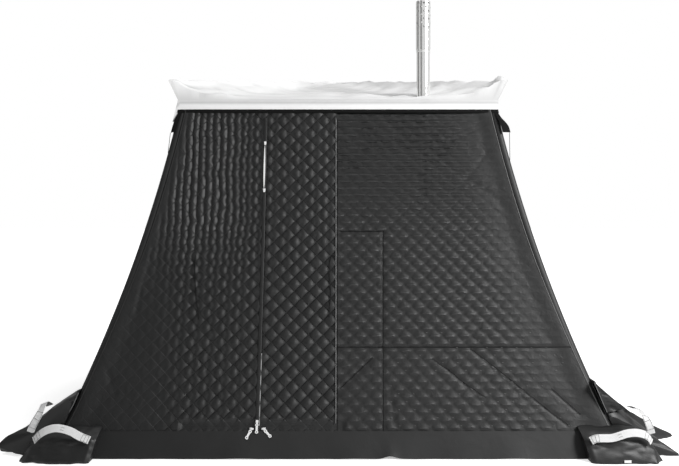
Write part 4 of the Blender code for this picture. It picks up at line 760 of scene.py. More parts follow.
@dataclass(frozen=True)
class ClothFinish(Finish):
    """A woven cloth: colour, grain and, for a quilt, its stitched lines, folds and creases."""

    name: str
    colour: tuple
    roughness: float
    gloss: float
    bump: float
    crumple: float = 14.0
    tone: float = 0.25
    diamond: float = 0.0
    line_thread_and_sheen: float = 1.0
    fold: float = 1.0
    creases: tuple = ()

    def look(self, w: Wiring, groups: Groups) -> tuple:
        """What the finish is made of.

        Args:
            w: the material's wiring.
            groups: the shared shader groups.

        Returns:
            The tone, the relief, the bump's strength and distance, and the shader's other inputs.
        """
        place = w.out("ShaderNodeTexCoord", output="Object")
        grain = w.group(groups.grain, {"Vector": place, "Crumple": self.crumple, "Tone": self.tone})
        # Painted shading stored on the mesh: painted shade in valleys, folds and dips, painted light on the tops.
        shade = grain["Shade"] * (1.0 - w.attribute("painted_shading"))
        height = grain["Height"] * 0.5
        if self.diamond:
            shade, height = self.quilting(w, groups, shade, height)
        return shade, height, self.bump, 0.004, {"Roughness": self.roughness, "Specular IOR Level": self.gloss}

    def quilting(self, w: Wiring, groups: Groups, shade: Term, height: Term) -> tuple:
        """Add the stitched lines, the folds and the creases.

        Args:
            w: the material's wiring.
            groups: the shared shader groups.
            shade: the tone so far.
            height: the relief so far.

        Returns:
            The tone and the relief with the quilting.
        """
        uv = w.out("ShaderNodeUVMap", uv_map=CLOTH_UV)
        relief = w.group(groups.relief, {
            "Vector": uv, "Pull": w.attribute("pull"), "Slack": w.attribute("slack"),
            "Diamond Width": self.diamond, "Diamond Height": self.diamond, "Fold": self.fold})
        # Stitched lines lighter, partly the thread's own tone and partly a painted sheen; painted light on the folds'
        # tops and painted shade under them.
        shade = shade * w.ramp(relief["Line"], 0.0, 1.0, 1.0, self.line_thread_and_sheen) * relief["Shade"]
        height = height + relief["Height"]
        # Painted shade along each crease line.
        for start, end, width, painted_shading in self.creases:
            mask = w.group(groups.seam, {
                "Vector": uv, "Start": (*start, 0.0), "End": (*end, 0.0), "Width": width})["Mask"]
            shade = shade * w.ramp(mask, 0.0, 1.0, 1.0, 1.0 - painted_shading)
            height = height - mask
        return shade, height


@dataclass(frozen=True)
class WebbingFinish(Finish):
    """A woven tape with ribs across it."""

    name: str
    colour: tuple
    roughness: float = 0.7
    gloss: float = 0.1

    def look(self, w: Wiring, groups: Groups) -> tuple:
        """What the finish is made of.

        Args:
            w: the material's wiring.
            groups: the shared shader groups.

        Returns:
            The tone, the relief, the bump's strength and distance, and the shader's other inputs.
        """
        uv = w.out("ShaderNodeUVMap", uv_map=CLOTH_UV)
        rib = w.math("PINGPONG", w.parts(uv)[1] * 420.0, 0.5)
        shade = w.group(groups.grain, {"Vector": uv, "Crumple": 60.0})["Shade"] * w.ramp(rib, 0.0, 0.5, 0.8, 1.0)
        return shade, rib, 0.5, 0.001, {"Roughness": self.roughness, "Specular IOR Level": self.gloss}


class Brush(Enum):
    """Direction of a metal's fine scratches."""

    NONE = (1.0, 1.0, 1.0)
    AROUND = (1.0, 1.0, 30.0)
    ALONG = (30.0, 30.0, 1.0)


@dataclass(frozen=True)
class HardFinish(Finish):
    """Metal or moulded plastic, with fine scratches or grain and slight soiling."""

    name: str
    colour: tuple
    roughness: float
    metallic: float = 0.0
    brush: Brush = Brush.NONE
    grain: float = 60.0
    bump: float = 0.1
    soil: float = 0.15

    def look(self, w: Wiring, groups: Groups) -> tuple:
        """What the finish is made of.

        Args:
            w: the material's wiring.
            groups: the shared shader groups.

        Returns:
            The tone, the relief, the bump's strength and distance, and the shader's other inputs.
        """
        place = w.out("ShaderNodeTexCoord", output="Object")
        stretched = w.out("ShaderNodeMapping", {0: place, "Scale": self.brush.value})
        grain = w.group(groups.grain, {"Vector": stretched, "Crumple": self.grain, "Tone": self.soil})
        rough = (1.0 + (1.0 - grain["Shade"]) * 2.0) * self.roughness
        return grain["Shade"], grain["Height"], self.bump, 0.0005, {"Roughness": rough, "Metallic": self.metallic}


FINISHES = {
    "quilt": ClothFinish("quilt_black", (0.0100, 0.0102, 0.0102), 0.5, 0.42, 0.9, 26.0, 0.5, 0.078, 1.3),
    "sleeve": ClothFinish("sleeve_black", (0.0150, 0.0152, 0.0152), 0.5, 0.35, 0.5),
    "skirt": ClothFinish("skirt_black", (0.0120, 0.0122, 0.0122), 0.5, 0.4, 0.8, 9.0, 0.4),
    "bag": ClothFinish("bag_black", (0.0120, 0.0122, 0.0122), 0.45, 0.45, 0.8, 12.0, 0.5),
    "fly": ClothFinish("fly_white", (0.80, 0.80, 0.80), 0.6, 0.2, 0.5, 9.0, 0.06),
    "lining": ClothFinish("lining_pale", (0.78, 0.78, 0.77), 0.7, 0.2, 0.2),
    "jack": ClothFinish("jack_grey", (0.30, 0.29, 0.27), 0.8, 0.2, 0.3),
    "band": WebbingFinish("webbing_black", (0.006, 0.006, 0.006)),
    "strap": WebbingFinish("webbing_silver", (0.78, 0.78, 0.78), 0.5),
    "cord": WebbingFinish("cord_black", (0.010, 0.010, 0.010)),
    "thread": HardFinish("thread_dark", (0.014, 0.014, 0.014), 0.7),
    # Pale grey seams; on the right-hand corners this finish stands in for a painted glint of the light on black piping.
    "seam": HardFinish("grey_seam_and_painted_glint", (0.15, 0.15, 0.15), 0.7),
    "zip": HardFinish("zip_white", (0.80, 0.80, 0.80), 0.35, 0.0, Brush.NONE, 90.0, 0.1, 0.06),
    "buckle": HardFinish("buckle_black", (0.012, 0.012, 0.013), 0.4),
    "pole": HardFinish("pole_steel", (0.42, 0.43, 0.44), 0.35, 1.0, Brush.ALONG),
    "frame": HardFinish("frame_plastic", (0.018, 0.018, 0.020), 0.5),
    "stove": HardFinish("stove_black", (0.018, 0.018, 0.018), 0.6, 0.4, Brush.NONE, 200.0, 0.3),
    "steel": HardFinish("flue_steel", (0.92, 0.92, 0.91), 0.14, 0.75, Brush.AROUND, 18.0, 0.1, 0.12),
}


# Shape of the walls


@dataclass(frozen=True)
class WallCurve:
    """The walls' bowed profile: an arc whose centre lies out in front of the wall."""

    foot_half: float = 1.445
    top_half: float = 0.908
    hem: float = 1.817
    bow: float = 0.046

    def centre(self) -> tuple:
        """The arc that the wall follows.

        Returns:
            Half width and height of the arc's centre, and its radius.
        """
        dw, dz = self.top_half - self.foot_half, self.hem
        radius = (dw * dw + dz * dz) / (8 * self.bow) + self.bow / 2
        length = math.hypot(dw, dz)
        reach = radius - self.bow
        return ((self.foot_half + self.top_half) / 2 + dz / length * reach, dz / 2 - dw / length * reach, radius)

    def point(self, height: Points, inset: Points) -> tuple:
        """Half width and height of points that lie inset into the wall.

        Args:
            height: heights on the curve.
            inset: depths into the wall.

        Returns:
            Half widths, heights and cloth lengths up the wall.
        """
        cw, cz, radius = self.centre()
        angle = np.arcsin((height - cz) / radius)
        half = cw - radius * np.cos(angle)
        start = math.asin(-cz / radius)
        inward = (-np.cos(angle), np.sin(angle))
        return half + inward[0] * inset, height + inward[1] * inset, radius * (angle - start)

    def half(self, height: Points, inset: float = 0.0) -> Points:
        """Half widths at heights, inset into the wall."""
        return self.point(np.asarray(height, dtype=float), inset)[0]

    def front(self, x: Points, height: Points, inset: Points) -> tuple:
        """Places on the front wall.

        Args:
            x: places across it.
            height: heights on the curve.
            inset: depths into the wall.

        Returns:
            World points and the cloth length up to them.
        """
        half, level, length = self.point(height, inset)
        x = np.broadcast_to(x, half.shape)
        return np.stack([x, -half, level], axis=-1), length


CURVE = WallCurve()
SLEEVE = 0.0445
FLUE_X, FLUE_Y = 0.497, -0.800


def sleeve_width(z: Points) -> Points:
    """How much of the corner sleeve the walls leave bare at a height: less towards the ground."""
    return 0.019 + (SLEEVE - 0.0205) * smooth((np.asarray(z, dtype=float) - 0.10) / 1.05)


def wall_edge(z: float) -> float:
    """Where the walls' right edge lies at a height."""
    return CURVE.half(z) - sleeve_width(z)


def strips(span: float, size: float) -> int:
    """How many strips of about a size fill a span."""
    return max(2, int(span / size))


def segment_depth(points: Points, start: tuple, end: tuple, width: float, depth: float) -> Points:
    """Depth of a crease near a line between two (x, z) points.

    Args:
        points: x and z of the cloth's points.
        start: the line's start.
        end: the line's end.
        width: how far away the crease fades.
        depth: its depth on the line.

    Returns:
        One depth for each point.
    """
    a, b = np.array(start), np.array(end)
    run = b - a
    share = np.clip(((points - a) @ run) / (run @ run), 0.0, 1.0)
    away = np.linalg.norm(points - (a + share[..., None] * run), axis=-1)
    return depth * np.exp(-(away / width) ** 2)


# Front wall creases: start and end as x and height, width, and how much painted shade darkens the crease line.
FRONT_CREASES = (
    ((0.247, 1.129), (0.227, 0.115), 0.0045, 0.55), ((-0.002, 0.525), (1.227, 0.525), 0.0050, 0.60),
    ((0.011, 1.129), (0.241, 1.129), 0.0040, 0.40), ((0.697, 0.515), (0.894, 0.364), 0.0050, 0.60),
    ((0.894, 0.364), (1.060, 0.232), 0.0050, 0.60), ((1.060, 0.232), (1.165, 0.153), 0.0050, 0.50),
    ((0.495, 0.466), (0.576, 0.412), 0.0045, 0.50), ((0.576, 0.412), (0.650, 0.350), 0.0045, 0.60),
    ((0.650, 0.350), (0.754, 0.283), 0.0045, 0.50), ((1.102, 0.321), (1.232, 0.204), 0.0050, 0.50),
    ((0.010, 0.326), (0.177, 0.471), 0.0050, 0.55), ((-0.006, 1.760), (-0.005, 0.130), 0.0035, 0.55),
)


def on_front_cloth(lines: Sequence[tuple]) -> tuple:
    """Creases of the front wall given by x and height, as places on its cloth."""
    return tuple((*((x, float(CURVE.point(np.array(z), 0.0)[2])) for x, z in (start, end)), width, painted_shading)
                 for start, end, width, painted_shading in lines)


@dataclass
class Quilt:
    """The quilted cover: four walls, the door's leaves and the ceiling."""

    groups: Groups
    finishes: dict
    step: float = 0.0120
    front_step: float = 0.0090
    front_row: float = 0.0075
    leaf_step: float = 0.0075
    diamond: float = 0.078
    inset: float = -0.001
    thickness: float = 0.009
    foot: float = 0.105
    head: float = 1.815
    door_foot: float = 0.152
    door_head: float = 1.768
    left_x: float = -0.785
    zip_x: float = -0.400
    right_x: float = -0.005
    wall_size: tuple = (2.75, 1.8)
    fold_width: float = 0.008
    fold_depth: float = 0.003
    wrinkles: tuple = (
        ((0.70, 1.45), (0.98, 1.20), 0.012, 0.0010), ((0.45, 1.62), (0.90, 1.30), 0.014, 0.0012),
        ((0.55, 1.60), (0.86, 1.74), 0.010, 0.0016), ((0.60, 1.66), (0.88, 1.77), 0.008, 0.0016),
        ((0.30, 1.72), (0.80, 1.76), 0.009, 0.0016), ((0.62, 1.30), (0.86, 1.60), 0.012, 0.0012),
        ((-1.30, 0.62), (-1.15, 0.30), 0.012, 0.003), ((-0.92, 1.60), (-0.98, 1.10), 0.012, 0.003),
        ((-0.98, 1.20), (-1.08, 0.70), 0.012, 0.003), ((-0.86, 1.72), (-0.90, 1.30), 0.010, 0.003),
        ((0.30, 0.09), (0.27, 0.30), 0.014, 0.003),
    )

    def sheet_mesh(self, name: str, side: Side, columns: Sequence[Callable], counts: Sequence[int],
                   heights: Points, keep: Optional[Callable] = None) -> bpy.types.Mesh:
        """A quilted sheet on a wall's curve.

        Args:
            name: the mesh's name.
            side: the side it is on.
            columns: functions of height that give the x of each main column.
            counts: how many strips lie between the main columns.
            heights: levels of the rows.
            keep: chooses quads by the middle's strip and level.

        Returns:
            The puffed mesh.
        """
        rows, strips = [], []
        for level in heights:
            xs = []
            for i, count in enumerate(counts):
                part = np.linspace(columns[i](level), columns[i + 1](level), count + 1)
                xs += list(part if i == len(counts) - 1 else part[:-1])
            rows.append(xs)
        for i, count in enumerate(counts):
            strips += [i] * count
        x = np.array(rows)
        z = np.repeat(np.array(heights)[:, None], x.shape[1], axis=1)
        points, length = CURVE.front(x, z, np.full_like(x, self.inset))
        uv = np.stack([x, length], axis=-1)
        chosen = None
        if keep is not None:
            middle = (z[:-1, :-1] + z[1:, :-1]) / 2
            chosen = keep(np.array(strips)[None, :].repeat(len(heights) - 1, axis=0), middle)
        mesh = grid_mesh(name, turned(points, side), uv, chosen)
        self.mark(mesh, x, z, side)
        drop_loose(mesh)
        return self.puffed(mesh, name, side.value * 3.7)

    def mark(self, mesh: bpy.types.Mesh, x: Points, z: Points, side: Side) -> None:
        """Store how the cloth is drawn, stretched and creased at each point.

        Args:
            mesh: the sheet, before it is puffed.
            x: the points' places across the wall.
            z: their heights on the curve.
            side: the side it is on.
        """
        half = CURVE.half(z)
        share = np.abs(x) / half
        slack = 1 - 0.55 * smooth((share - 0.70) / 0.22)
        pull = -smooth((share - 0.60) / 0.22)
        crease = np.zeros_like(x)
        if side is Side.FRONT:
            pull, slack, crease = self.front_marks(x, z, share)
        over = smooth((np.abs(x) - half + 0.135) / 0.100)
        slack = slack * (1 - over)
        crease = (crease - 0.005 * (1 - slack)) * (1 - over) - 0.0125 * over
        for label, values in (("pull", pull), ("crease", crease), ("slack", slack)):
            store(mesh, label, values)

    def front_marks(self, x: Points, z: Points, share: Points) -> tuple:
        """How the front wall's cloth is drawn, stretched and creased.

        Args:
            x: the points' places across the wall.
            z: their heights on the curve.
            share: how far out they lie, 1 at the corner.

        Returns:
            Pull, slack and crease at each point.
        """
        high = smooth((z - 0.70) / 0.55)
        drawn = (0.30 + 0.70 * smooth((-0.30 - x) / 0.35)) * (0.40 + 0.60 * high)
        pull = np.where(x > self.right_x, 0.58 + 0.42 * smooth((z - 0.95) / 0.50), -drawn)
        far = smooth((share - 0.62) / 0.25)
        slack = np.where(x > 0, 1 - 0.80 * far, 1 - 0.80 * smooth((-0.80 - x) / 0.18) * (1 - 0.5 * high))
        where = np.stack([x, z], axis=-1)
        crease = np.zeros_like(x)
        for start, end, width, depth in self.wrinkles:
            crease += segment_depth(where, start, end, width, depth)
        for start, end, *_ in FRONT_CREASES[:-1]:
            crease += segment_depth(where, start, end, self.fold_width, self.fold_depth)
        slack = slack * np.where((x > 0) & (z < 0.55), 0.72, 1.0)
        sill = smooth((0.032 - np.abs(z - self.door_foot)) / 0.018) * ((x > -0.80) & (x < 0.03))
        return pull, slack * (1 - 0.85 * sill), crease + 0.0065 * sill

    def puffed(self, mesh: bpy.types.Mesh, name: str, seed: float, puff: float = 0.0100) -> bpy.types.Mesh:
        """Run the quilting tree on a sheet.

        Args:
            mesh: the marked sheet.
            name: the new mesh's name.
            seed: shifts its wrinkles.
            puff: how far the puffs stand out.

        Returns:
            The puffed mesh.
        """
        return grown(helper(mesh), self.groups.quilting, {
            "Diamond Width": self.diamond, "Diamond Height": self.diamond, "Puff": puff, "Wrinkle": 0.006,
            "Seed": seed, "Material": self.finishes["quilt"]}, name)

    def levels(self, low: float, high: float, step: float) -> Points:
        """Row heights about a step apart."""
        return np.linspace(low, high, max(2, int((high - low) / step) + 1))

    def piece(self, name: str, mesh: bpy.types.Mesh, body: str, node: str, size: tuple, area: float) -> None:
        """Args:
            name: the piece's name.
            mesh: the puffed sheet.
            body: the body that carries it.
            node: the CAD node it stands for.
            size: its flat width and height; not used.
            area: its flat area; not used.
        """
        finish = self.finishes["quilt_front" if node.startswith(("front", "door")) else "quilt"]
        made = add_cloth(name, mesh, finish, self.thickness, body, node)

    def build(self) -> None:
        """Make the walls, the leaves and the ceiling."""
        step, row, play = self.front_step, self.front_row, 0.0002
        edges = [lambda z: -wall_edge(z), wall_edge]
        low = np.concatenate([self.levels(self.foot, self.door_foot, row)[:-1],
                              self.levels(self.door_foot, self.door_head, row)[:-1],
                              self.levels(self.door_head, self.head, row)])
        mesh = self.sheet_mesh(
            "front_wall_quilt", Side.FRONT,
            [edges[0], lambda z: self.left_x - play, lambda z: self.right_x + play, edges[1]],
            [strips(span, step) for span in (0.50, 0.78, 1.10)], low,
            lambda strip, level: ~((strip == 1) & (level > self.door_foot) & (level < self.door_head)))
        self.piece("front_wall_quilt", mesh, "tent", "front_wall", self.wall_size, 2.6)
        for side in (Side.RIGHT, Side.REAR, Side.LEFT):
            name = side.name.lower() + "_wall"
            mesh = self.sheet_mesh(name + "_quilt", side, edges, [strips(2.4, self.step)],
                                   self.levels(self.foot, self.head, self.step))
            self.piece(name + "_quilt", mesh, "tent", name, self.wall_size, 3.9)
        door = self.levels(self.door_foot + 0.0003, self.door_head - 0.0003, self.leaf_step)
        gap, tall = 0.002, 1.70
        for name, left, right in (("left", self.left_x, self.zip_x - gap), ("right", self.zip_x + gap, self.right_x)):
            node = "door_leaf_" + name
            mesh = self.sheet_mesh(node + "_quilt", Side.FRONT, [lambda z, x=left: x, lambda z, x=right: x],
                                   [strips(0.385, self.leaf_step)], door)
            self.piece(node + "_quilt", mesh, name + "_leaf", node, (right - left, tall), 0.99 * (right - left) * tall)
        self.tack_stitches()
        self.ceiling()

    def tack_stitches(self) -> None:
        """Small grey stitches that show at some crossings of the quilting, low on the front wall's right."""
        pick = np.random.default_rng(11)
        pitch, stretch = self.diamond / 2, 1.045
        paths = []
        for row in range(3, 17):
            for col in range(7, 33):
                x, z = col * pitch, row * pitch / stretch
                chance = 0.55 if (z > 0.40 and x > 0.55) or z < 0.25 else 0.22
                if (row + col) % 2 or pick.random() > chance:
                    continue
                if x > float(CURVE.half(z)) - 0.10:
                    continue
                paths.append(CURVE.front(np.array([x - 0.0022, x + 0.0022]), np.full(2, z), -0.0004)[0].tolist())
        stitched("quilt_tack_stitches", paths, self.groups, self.finishes["seam"], "tent",
                 (0.004, 0.0042, 0.0026))

    def ceiling(self) -> None:
        """The quilted ceiling: a low pyramid with a hole for the flue."""
        half, rise, foot, peak = 0.895, 0.196, 1.824, 0.09
        count, flue_gap, corner_place, corner_gap = 90, 0.058, 0.886, 0.045
        line = np.linspace(-half, half, count)
        x, y = np.meshgrid(line, line)
        ring = np.maximum(np.abs(x), np.abs(y))
        z = foot + rise * (1 - np.maximum(ring, peak) / half)
        mid_x, mid_y = ((grid[:-1, :-1] + grid[1:, 1:]) / 2 for grid in (x, y))
        flue = np.hypot(mid_x - FLUE_X, mid_y - FLUE_Y) > flue_gap
        corner = np.hypot(np.abs(mid_x) - corner_place, np.abs(mid_y) - corner_place) > corner_gap
        mesh = grid_mesh("ceiling_quilt", np.stack([x, y, z], axis=-1), np.stack([x, y], axis=-1), flue & corner)
        for label, value in (("pull", 0.0), ("crease", 0.0), ("slack", 1.0)):
            store(mesh, label, np.full(count * count, value))
        drop_loose(mesh)
        mesh = self.puffed(mesh, "ceiling_quilt", 9.0, 0.004)
        made = add_cloth("ceiling_quilt", mesh, self.finishes["quilt"], 0.005, node="ceiling_panel")


@dataclass
class CornerSleeves:
    """Cloth tubes that hold the leg poles, with a piped seam along each wall."""

    finishes: dict
    half: float = 0.022
    squareness: float = 0.72
    foot: float = 0.062
    head: float = 1.814
    rows: int = 60
    sides: int = 20

    def build(self) -> None:
        """Make the four sleeves and their seams."""
        heights = np.linspace(self.foot, self.head, self.rows)
        middle = CURVE.half(heights) - self.half
        angles = np.linspace(0, 2 * np.pi, self.sides, endpoint=False)
        cx, cy = (np.sign(turn) * np.abs(turn) ** self.squareness * self.half
                  for turn in (np.cos(angles), np.sin(angles)))
        for corner in Corner:
            sx, sy = corner.value
            name = corner.name.lower()
            points = np.array([np.stack([sx * place + cx, sy * place + cy, np.full_like(cx, level)], axis=-1)
                               for level, place in zip(heights, middle)])
            uv = level_uv(np.linspace(0, 0.16, self.sides, endpoint=False), points)
            piece = add_cloth("sleeve_cloth_" + name, grid_mesh("sleeve_cloth_" + name, points, uv, wrap=True),
                              self.finishes["sleeve"], 0.0015, node="corner_sleeve_" + name)
            self.seams(corner, name, heights)

    def seams(self, corner: Corner, name: str, heights: Points) -> None:
        """A thin raised seam on each side of a corner.

        Args:
            corner: the corner.
            name: the corner's name in lower case.
            heights: levels of the seam's points.
        """
        sx, sy = corner.value
        half = CURVE.half(heights, -0.0040)
        inner = CURVE.half(heights) - sleeve_width(heights)
        # Painted highlight: the right-hand corners' seams take the pale grey finish as a glint of the light, the
        # left-hand ones the black thread finish.
        finish = self.finishes["seam" if sx > 0 else "thread"]
        for label, x, y in (("face", inner, half), ("side", half, inner)):
            title = "seam_" + label + "_" + name
            mesh = tube(np.stack([sx * x, sy * y, heights], axis=-1), 0.0022, 6, title)
            add_piece(title, mesh, finish, "tent")


@dataclass
class GroundSkirt:
    """The band of cloth round the tent's foot, with a wavy hem."""

    finishes: dict
    head: float = 0.126
    rows: int = 14
    columns: int = 170

    def build(self) -> None:
        """Make the skirt as one ring."""
        shares = np.linspace(-1, 1, self.columns, endpoint=False)
        sides, lengths = [], []
        for side in Side:
            rows = []
            for level in np.linspace(0.0015, self.head, self.rows):
                height = np.full_like(shares, level)
                low = 1 - level / self.head
                half = CURVE.half(height, -0.0034)
                x = shares * half
                wave = np.sin(x * 9.0 + side.value * 2.1) * 0.5 + np.sin(x * 23.0 + side.value) * 0.3
                out = low * (1 - shares ** 8) * 0.004 * (wave + 0.8)
                lift = low ** 2 * (1 - shares ** 8) * np.maximum(wave, 0) * 0.005
                if side is Side.FRONT:
                    lift = lift + low ** 2 * 0.014 * np.exp(-((x - 0.26) / 0.035) ** 2)
                rows.append(np.stack([x, -half - out, height + lift], axis=-1))
            sides.append(turned(np.array(rows), side))
            lengths.append((shares + 1 + side.value * 2) * 1.44)
        points = np.concatenate(sides, axis=1)
        mesh = grid_mesh("skirt_cloth", points, level_uv(np.concatenate(lengths), points), wrap=True)
        piece = add_cloth("skirt_cloth", mesh, self.finishes["skirt"], 0.002, node="ground_skirt")


@dataclass
class RoofFly:
    """The white fly: a vertical valance, a fold, and four facets drawn up into ears at the corners."""

    finishes: dict
    hem: float = 1.8175
    fold: float = 1.872
    eave: float = 1.880
    ear: float = 1.967
    ear_half: float = 0.957
    hem_half: float = 0.9112
    hub: float = 2.126
    sag: float = 0.020
    columns: int = 150
    rows: int = 62
    valance_rows: int = 9

    def ring(self, share: float, along: Points) -> Points:
        """Points of one ring on the front side.

        Args:
            share: where the ring lies, 1 at the eave and 0 at the hub.
            along: places along the side, -1 to 1.

        Returns:
            The ring's points.
        """
        corner = np.abs(along) ** 6
        eave_half = self.hem_half - 0.020
        half = eave_half + (self.ear_half - eave_half) * corner
        height = self.eave + (self.ear - self.eave) * corner
        sag = 4 * self.sag * (1 - corner) * share * (1 - share)
        level = height * share + self.hub * (1 - share) - sag
        return np.stack([along * half * share, -half * share, level], axis=-1)

    def build(self) -> None:
        """Make the fly as one continuous sheet."""
        along = np.linspace(-1, 1, self.columns, endpoint=False)
        sides, painted_fold_shading = [], []
        for side in Side:
            rows = []
            for level in np.linspace(self.hem, self.fold, self.valance_rows):
                part = (level - self.hem) / (self.fold - self.hem)
                half = np.full_like(along, self.hem_half)
                slack = np.sin(along * 21 + side.value * 1.7) * 0.0012 * (1 - along ** 4)
                tuck = 0.006 * smooth((part - 0.30) / 0.30) * (1 - smooth((part - 0.70) / 0.30)) * (1 - along ** 10)
                out = -half - slack * (1 - part) - 0.004 * (1 - part) * (1 - along ** 10) + tuck
                rows.append(np.stack([along * half, out, np.full_like(along, level)], axis=-1))
            rows += [self.ring(share, along) for share in 1 - np.linspace(0, 1, self.rows) ** 1.15 * 0.985]
            points = np.array(rows)
            fold, tone = self.wrinkles(points, side)
            points[..., 2] += fold
            painted_fold_shading.append(tone)
            sides.append(turned(points, side))
        points = np.concatenate(sides, axis=1)
        points[-1, :, 2] = self.hub
        self.flap(points)
        uv = even_uv(np.linspace(0, 7.28, points.shape[1], endpoint=False), lengths_along(points[:, self.columns // 2]))
        mid = (points[:-1, :] + np.roll(points, -1, axis=1)[1:, :]) / 2
        keep = np.hypot(mid[..., 0] - FLUE_X, mid[..., 1] - FLUE_Y) > 0.045
        mesh = grid_mesh("fly_cloth", points, uv, keep, wrap=True)
        store(mesh, "painted_shading", np.concatenate(painted_fold_shading, axis=1))
        self.close_peak(mesh)
        piece = add_cloth("fly_cloth", mesh, self.finishes["fly"], 0.0012, node="roof_fly")

    def wrinkles(self, points: Points, side: Side) -> tuple:
        """Folds that fan out from the corner ears, and soft ripples over the facets.

        Args:
            points: the side's points before it is turned into place.
            side: the side it is on.

        Returns:
            How far each point rises, and the painted shading: painted shade in the dips, on the
            fan folds and under the valance's fold, and painted light on the ridges and near the hem.
        """
        rise = np.zeros(points.shape[:2])
        fan = np.zeros(points.shape[:2])
        inside = smooth((points[..., 2] - self.fold) / 0.02)
        for sign in (-1, 1):
            dx = points[..., 0] - sign * (self.ear_half + 0.01)
            dy = points[..., 1] + self.ear_half + 0.01
            angle = np.arctan2(dy, -sign * dx)
            away = np.hypot(dx, dy)
            turn = angle * 19 + side.value * 2.3 + sign + 1.5 * np.sin(away * 14 + sign)
            reach = np.exp(-away / 0.30) * np.minimum(away / 0.05, 1)
            rise += np.sign(np.sin(turn)) * np.abs(np.sin(turn)) ** 0.7 * reach * 0.009
            fan += np.clip(-np.sin(turn) - 0.2, 0.0, 1.0) * reach
        rise += np.abs(ripple(points * np.array([1.0, 2.6, 2.6]), 3.6, side.value * 5.1)) * 0.011
        rise += ripple(points * np.array([1.0, 3.0, 3.0]), 8.0, 40 + side.value) * 0.0030
        # Painted shade in the dips and on one flank of each fan fold, painted light on the ridges.
        tone = (np.clip(-rise * 22, -0.06, 0.20) + 0.03 + 0.34 * fan) * inside
        # Painted shade in a band under the valance's fold and along the fold, a little painted light near the hem.
        valance = (points[..., 2] - self.hem) / (self.fold - self.hem)
        tone += 0.30 * np.exp(-((valance - 0.72) / 0.16) ** 2) - 0.04 * np.exp(-((valance - 0.25) / 0.25) ** 2)
        tone += 0.16 * np.exp(-((valance - 1.0) / 0.07) ** 2)
        for sign in (-1, 1):
            tall = 0.026 if (side, sign) in ((Side.FRONT, 1), (Side.RIGHT, -1)) else 0.010
            place = (points[..., 0] * sign - points[..., 1]) / 2
            across = points[..., 0] * sign + points[..., 1]
            rise += tall * np.exp(-((place - 0.918) / 0.022) ** 2 - (across / 0.06) ** 2)
        return rise * inside, tone

    def flap(self, points: Points) -> None:
        """Let the left side's valance droop and stand off near the front corner.

        Args:
            points: the fly's points, changed in place.
        """
        for row, part in zip(points[:self.valance_rows], np.linspace(1, 0, self.valance_rows)):
            near = smooth(1 - (row[:, 1] + 0.915) / 0.22) * (row[:, 0] < -0.90)
            row[:, 2] -= near * part * 0.070
            row[:, 0] -= near * part * 0.030

    def close_peak(self, mesh: bpy.types.Mesh) -> None:
        """Close the small opening at the hub.

        Args:
            mesh: the fly's mesh.
        """
        with editing(mesh) as bm:
            rim = [e for e in bm.edges if e.is_boundary and all(math.hypot(*v.co.xy) < 0.05 for v in e.verts)]
            bmesh.ops.holes_fill(bm, edges=rim, sides=0)
            bmesh.ops.recalc_face_normals(bm, faces=bm.faces)
            for face in bm.faces:
                face.smooth = True
            if sum(face.normal.z for face in bm.faces) < 0:
                bmesh.ops.reverse_faces(bm, faces=bm.faces)
        drop_loose(mesh)


